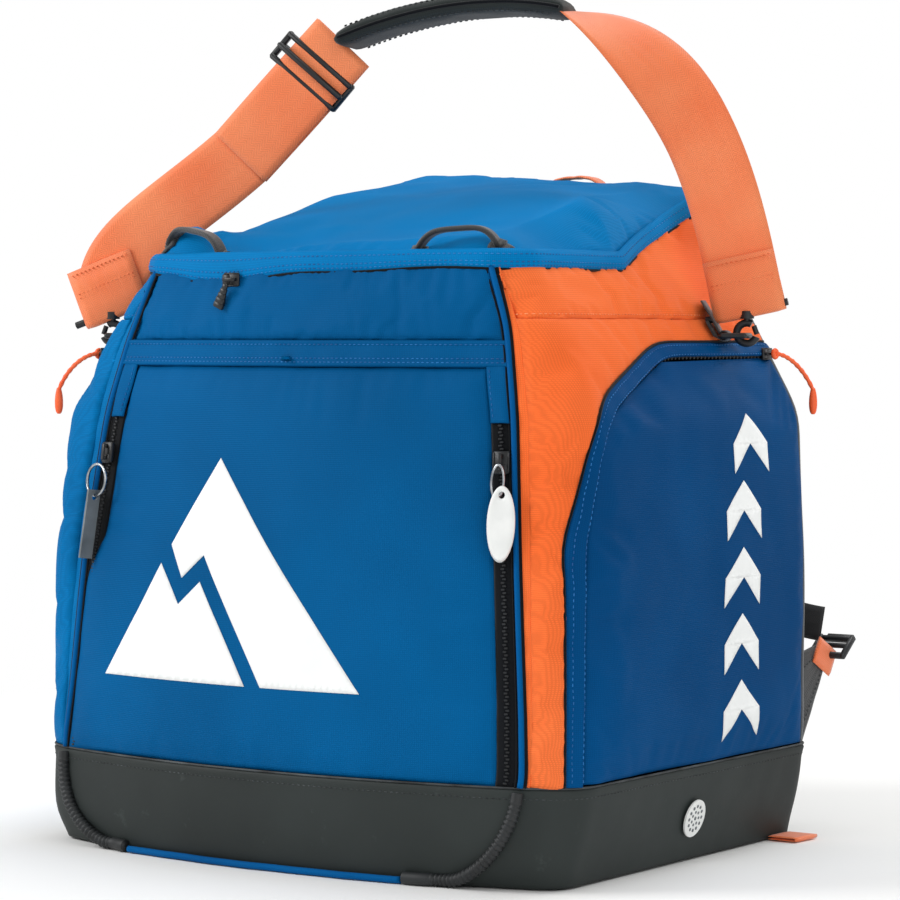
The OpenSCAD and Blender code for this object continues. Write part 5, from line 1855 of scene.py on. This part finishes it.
def pad_parts(path, across, width, thick, ribs=20):
    """A stuffed band: a rounded cross-section that narrows at both ends."""
    t = np.gradient(path, axis=0)
    t /= np.linalg.norm(t, axis=1, keepdims=True)
    face = np.cross(t, across)
    face /= np.linalg.norm(face, axis=1, keepdims=True)
    a = np.linspace(0, 2 * math.pi, 2 * ribs, endpoint=False)
    c, s = np.cos(a), np.sin(a)
    flat = np.sign(c) * np.abs(c) ** 0.55
    round_ = np.sign(s) * np.abs(s) ** 0.7
    end = np.linspace(-1, 1, len(path))
    taper = (1 - np.abs(end) ** 10) ** 0.35
    taper = np.maximum(taper, 0.12)
    wide = width / 2 * (0.86 + 0.14 * taper)
    high = thick / 2 * (0.25 + 0.75 * taper)
    verts = (path[:, None] + across[:, None] * (flat[None] * wide[:, None])[..., None]
             + face[:, None] * (round_[None] * high[:, None])[..., None])
    n, m = len(path), 2 * ribs
    faces = [((i * m + j), (i * m + (j + 1) % m), ((i + 1) * m + (j + 1) % m), ((i + 1) * m + j))
             for i in range(n - 1) for j in range(m)]
    faces += [tuple(range(m))[::-1], tuple((n - 1) * m + j for j in range(m))]
    length = np.r_[0, np.cumsum(np.linalg.norm(np.diff(path, axis=0), axis=1))]
    uu, vv = grid(length, flat * width / 2 + (s < 0) * 90)
    return verts.reshape(-1, 3), faces, np.stack([uu, vv], -1).reshape(-1, 2)


def shoulder_pad():
    path = bezier(strap_point(96, 578), strap_point(50, 589), strap_point(-10, 582), strap_point(-66, 559), 60)
    across = np.tile(STRAP_OUT, (61, 1))
    v, f, u = pad_parts(path, across, 58, 15)
    v = np.asarray(v)
    bump = rumple(v[None], 18, 0.9, 121)[0] + rumple(v[None], 7, 0.3, 122)[0]
    v = v + np.array([0, 0, 1]) * bump[:, None]
    pad = finish_mesh("shoulder_pad_cover", v, f, u, PAD, "strap", "pad_fabric")
    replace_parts(pad, "shoulder_pad")
    lift = np.cross(np.gradient(path, axis=0), across)
    lift /= np.linalg.norm(lift, axis=1, keepdims=True)
    rows = []
    for s in (-1, 1):
        for side in (-1, 1):
            line = (path + across * s * 25.5 + lift * side * 6.0)[3:-3]
            points = resampled(line, 4.0)
            rows.append(stitch_parts(points, np.tile(lift[30] * side, (len(points), 1)), 0.4, 0.6))
    seam = [tube_parts((path + across * s * 29)[1:-1], 1.3, (0, 0, 1), 8) for s in (-1, 1)]
    stitch = finish_mesh("shoulder_pad_stitches", *joined(rows), THREAD_DARK, "strap", "pad_fabric")
    edge = finish_mesh("shoulder_pad_binding", *joined(seam), TAPE, "strap", "pad_fabric")
    return [pad, stitch, edge]


def strap_adjuster():
    """A three-bar slide round the doubled webbing."""
    top, bend = strap_point(-74, 556), strap_point(-141, 479)
    run = (bend - top) / np.linalg.norm(bend - top)
    across = np.cross(STRAP_OUT, run)
    turn = np.stack([run, STRAP_OUT, across], -1)
    centre = top + (bend - top) * 0.22
    parts = [box_parts((4, 5, 60), (k, o, 0), 1.2) for k, o in ((-10, 2.5), (0, -5.5), (10, 2.5))]
    parts += [box_parts((24, 6, 4), (0, -0.5, s * 29), 1.2) for s in (-1, 1)]
    parts += [box_parts((4, 8, 60), (0, 5.2, 0), 1.2)]
    slide = finish_mesh("strap_slide", *placed(joined(parts), turn, centre), PLASTIC, "strap_adjuster",
                        "black_plastic")
    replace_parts(slide, "strap_adjuster")
    return [slide]


def strap():
    pieces = strap_right() + strap_left() + shoulder_pad() + strap_adjuster()
    for piece in pieces:
        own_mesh(piece)


def ring_tabs():
    """Webbing loops that hold the clip rings against the yoke seam."""
    parts = []
    for side, name in ((1, "right"), (-1, "left")):
        low, high = (np.array(c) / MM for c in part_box(f"clip_ring_{name}"))
        centre = (low + high) / 2
        out = STRAP_DIR * side
        bar = centre - out * 7.5
        across = np.cross(out, (0, 0, 1))
        points = [bar + out * (3.1 * math.cos(a)) + np.array([0, 0, 3.1 * math.sin(a)])
                  for a in np.linspace(math.radians(150), math.radians(-150), 14)]
        head = [bar + out * -15.5 + (0, 0, 24), bar + out * -8 + (0, 0, 12)]
        tail = [bar + out * -6.5 + (0, 0, 0), bar + out * -12 + (0, 0, 10)]
        path = np.array(head + points + tail)
        parts.append(band_parts(path, np.tile(across, (len(path), 1)), 22, 1.6, 7))
    tabs = finish_mesh("ring_tab_webs", *joined(parts), BLACK_WEB, "root", "black_webbing")
    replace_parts(tabs, "ring_tabs")


# ---- Harness ----

def base_tab():
    low, high = (np.array(c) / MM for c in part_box("base_tab"))
    x = np.linspace(low[0], high[0], 12)
    parts = []
    for z in (low[2] + 0.6, high[2] - 0.6):
        path = np.stack([x, np.full(12, (low[1] + high[1]) / 2), np.full(12, z)], -1)
        parts.append(band_parts(path, np.tile((0.0, 1.0, 0.0), (12, 1)), high[1] - low[1], 1.2, 7))
    end = np.array([[high[0] - 0.6, (low[1] + high[1]) / 2, low[2] + 0.6],
                    [high[0] + 0.3, (low[1] + high[1]) / 2, (low[2] + high[2]) / 2],
                    [high[0] - 0.6, (low[1] + high[1]) / 2, high[2] - 0.6]])
    parts.append(band_parts(end, np.tile((0.0, 1.0, 0.0), (3, 1)), high[1] - low[1], 1.0, 7))
    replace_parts(finish_mesh("base_tab_web", *joined(parts), STRAP, "root", "orange_webbing"), "base_tab")


def harness_path(side):
    return bezier((side * 62, 190, 418), (side * 72, 224, 330), (side * 112, 220, 250), (side * 138, 194, 172), 50)


def harness():
    for side, name in ((1, "right"), (-1, "left")):
        path = harness_path(side)
        t = np.gradient(path, axis=0)
        t /= np.linalg.norm(t, axis=1, keepdims=True)
        across = np.array([1.0, 0, 0]) - t * t[:, :1]
        across /= np.linalg.norm(across, axis=1, keepdims=True)
        pad = finish_mesh(f"harness_pad_cover_{name}", *pad_parts(path, across, 62, 9.5), AIR,
                          f"harness_{name}", "back_mesh")
        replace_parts(pad, f"harness_pad_{name}")
        edges = [tube_parts((path + across * s * 30.5)[1:-1], 1.5, (0, 1, 0), 8) for s in (-1, 1)]
        finish_mesh(f"harness_pad_binding_{name}", *joined(edges), BINDING_BLUE, f"harness_{name}",
                    "blue_binding")
        middle = band_parts(path + np.array([0, 5.4, 0]), across, 25, 1.6, 7)
        finish_mesh(f"harness_pad_webbing_{name}", *middle, BLACK_WEB, f"harness_{name}", "black_webbing")
        tip = np.array([side * 190, 211, 146.0])
        low = bezier((side * 134, 194, 178), (side * 146, 191, 156), (side * 172, 203, 149), tip, 24)
        t = np.gradient(low, axis=0)
        flat = np.cross((0.0, 1.0, 0.0), t)
        flat /= np.linalg.norm(flat, axis=1, keepdims=True)
        web = finish_mesh(f"harness_web_{name}", *band_parts(low, flat, 25, 1.8, 7), BLACK_WEB,
                          f"harness_{name}", "black_webbing")
        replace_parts(web, f"harness_webbing_{name}")


def harness_wings():
    """Triangular black wings sewn into the back corners, with an orange webbing end on each."""
    low, high = (np.array(c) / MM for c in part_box("harness_wings"))
    parts, ends, rows = [], [], []
    for side in (1, -1):
        x = side * (high[0] - 1.5)
        u, v = grid(np.linspace(0, 1, 14), np.linspace(0, 1, 18))
        tip_low, tip_high = high[2] - 16, high[2]
        y = BACK_Y + 0.8 + u * (high[1] - BACK_Y - 1.5)
        z0 = low[2] + (tip_low - low[2]) * u
        z1 = high[2] - 6 + 6 * u
        z = z0 + (z1 - z0) * v
        p = np.stack([np.full_like(y, x), y, z], -1)
        p[..., 0] += rumple(p, 16, 0.6, 131) * np.sin(math.pi * u)
        parts.append((p.reshape(-1, 3), grid_faces(14, 18), grid_uv(p)))
        for k in (3, 14):
            points = resampled(p[:, k] + np.array([side * 1.7, 0, 0]), 3.4)
            rows.append(stitch_parts(points, np.tile((float(side), 0, 0), (len(points), 1)), 0.35, 0.4))
        tip = np.array([x, high[1] - 5, high[2] - 9])
        path = np.array([tip + (side * 2.2, d, -0.55 * d) for d in np.linspace(-9, 13, 10)])
        across = np.tile((0.0, 0.5, 0.86), (10, 1))
        ends.append(band_parts(path, across, 20, 2.0, 7))
    v, f, u = joined(parts)
    wings = finish_mesh("harness_wing_webs", v, f, u, BLACK_WEB, "root", "black_webbing")
    thick = wings.modifiers.new("layers", "SOLIDIFY")
    thick.thickness, thick.offset = 2.8 * MM, 0
    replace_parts(wings, "harness_wings")
    finish_mesh("harness_wing_stitches", *joined(rows), THREAD_DARK, "root", "black_webbing")
    finish_mesh("harness_wing_ends", *joined(ends), STRAP, "root", "orange_webbing")


def ladder_locks():
    """Ladder locks: a frame with a toothed bar and a lifting lip."""
    for side, name in ((1, "right"), (-1, "left")):
        centre = node_middle(f"ladder_lock_{name}")
        turn = turned((1, 0, 0), -50)
        parts = [box_parts((4, 5, 22), (s * 13, 0, 0), 1.2) for s in (-1, 1)]
        parts += [box_parts((28, 5, 4.4), (0, 0, -8.8), 1.2), box_parts((28, 3.4, 4), (0, -0.6, 0.6), 1.0),
                  box_parts((28, 5, 4.4), (0, 1.2, 8.8), 1.2), box_parts((22, 3, 6), (0, 3.2, 12.4), 1.2)]
        lock = finish_mesh(f"ladder_lock_frame_{name}", *placed(joined(parts), turn, centre), PLASTIC,
                           f"ladder_lock_{name}", "black_plastic")
        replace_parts(lock, f"ladder_lock_{name}")


# ---- Studio ----

def studio():
    floor = bpy.data.objects.new("floor", bpy.data.meshes.new("floor"))
    size = 60
    floor.data.from_pydata([(-size, -size, 0), (size, -size, 0), (size, size, 0), (-size, size, 0)], [],
                           [(0, 1, 2, 3)])
    floor.data.materials.append(floor_material("pale_floor"))
    bpy.context.scene.collection.objects.link(floor)
    world = bpy.data.worlds.new("studio_air")
    bpy.context.scene.world = world
    world.use_nodes = True
    tree = world.node_tree
    air = tree.nodes["Background"]
    air.inputs["Color"].default_value = (1.0, 1.0, 1.0, 1)
    seen = tree.nodes.new("ShaderNodeLightPath")
    strength = tree.nodes.new("ShaderNodeMapRange")
    strength.inputs["To Min"].default_value, strength.inputs["To Max"].default_value = 0.55, 1.0
    tree.links.new(seen.outputs["Is Camera Ray"], strength.inputs["Value"])
    tree.links.new(strength.outputs["Result"], air.inputs["Strength"])
    for name, place, power, size in (("key", (-1.7, -1.5, 1.5), 36, 1.1), ("fill", (2.4, -1.6, 1.3), 18, 1.8),
                                     ("top", (0.3, 0.8, 2.8), 30, 1.6), ("back", (0.4, 2.8, 1.6), 18, 1.6)):
        data = bpy.data.lights.new(name, "AREA")
        data.energy, data.size = power, size
        lamp = bpy.data.objects.new(name, data)
        lamp.location = place
        lamp.rotation_mode = "QUATERNION"
        lamp.rotation_quaternion = (Vector((0, 0, 0.25)) - Vector(place)).to_track_quat("-Z", "Y")
        bpy.context.scene.collection.objects.link(lamp)
    bpy.context.scene.view_settings.view_transform = "Standard"


def camera():
    """A long lens a little above the middle of the bag, off its right front corner."""
    yaw, pitch = math.radians(36.53), math.radians(1.857)
    data = bpy.data.cameras.new("camera")
    data.lens, data.sensor_width = 144, 36
    obj = bpy.data.objects.new("camera", data)
    obj.location = (1.5113, -2.0223, 0.3547)
    forward = Vector((-math.sin(yaw) * math.cos(pitch), math.cos(yaw) * math.cos(pitch), -math.sin(pitch)))
    obj.rotation_mode = "QUATERNION"
    obj.rotation_quaternion = forward.to_track_quat("-Z", "Y")
    bpy.context.scene.collection.objects.link(obj)
    bpy.context.scene.camera = obj


base_tub()
corner_guards()
bottom_piping()
front_graphic(front_panel())
front_band()
zip_garages()
front_yoke()
front_zips()
seam_piping()
front_lining()
side_panels()
doors()
back_panel()
back_pads()
inside()
lid_zip()
lid_tree = lid_shell()
lid_hem(lid_tree)
grab_loops(lid_tree)
haul_loop(lid_tree)
sliders()
door_cords()
kept_nodes()
oval_tag()
lid_pull()
tag_links()
badge_dots()
strap()
ring_tabs()
base_tab()
harness()
harness_wings()
ladder_locks()
studio()
camera()
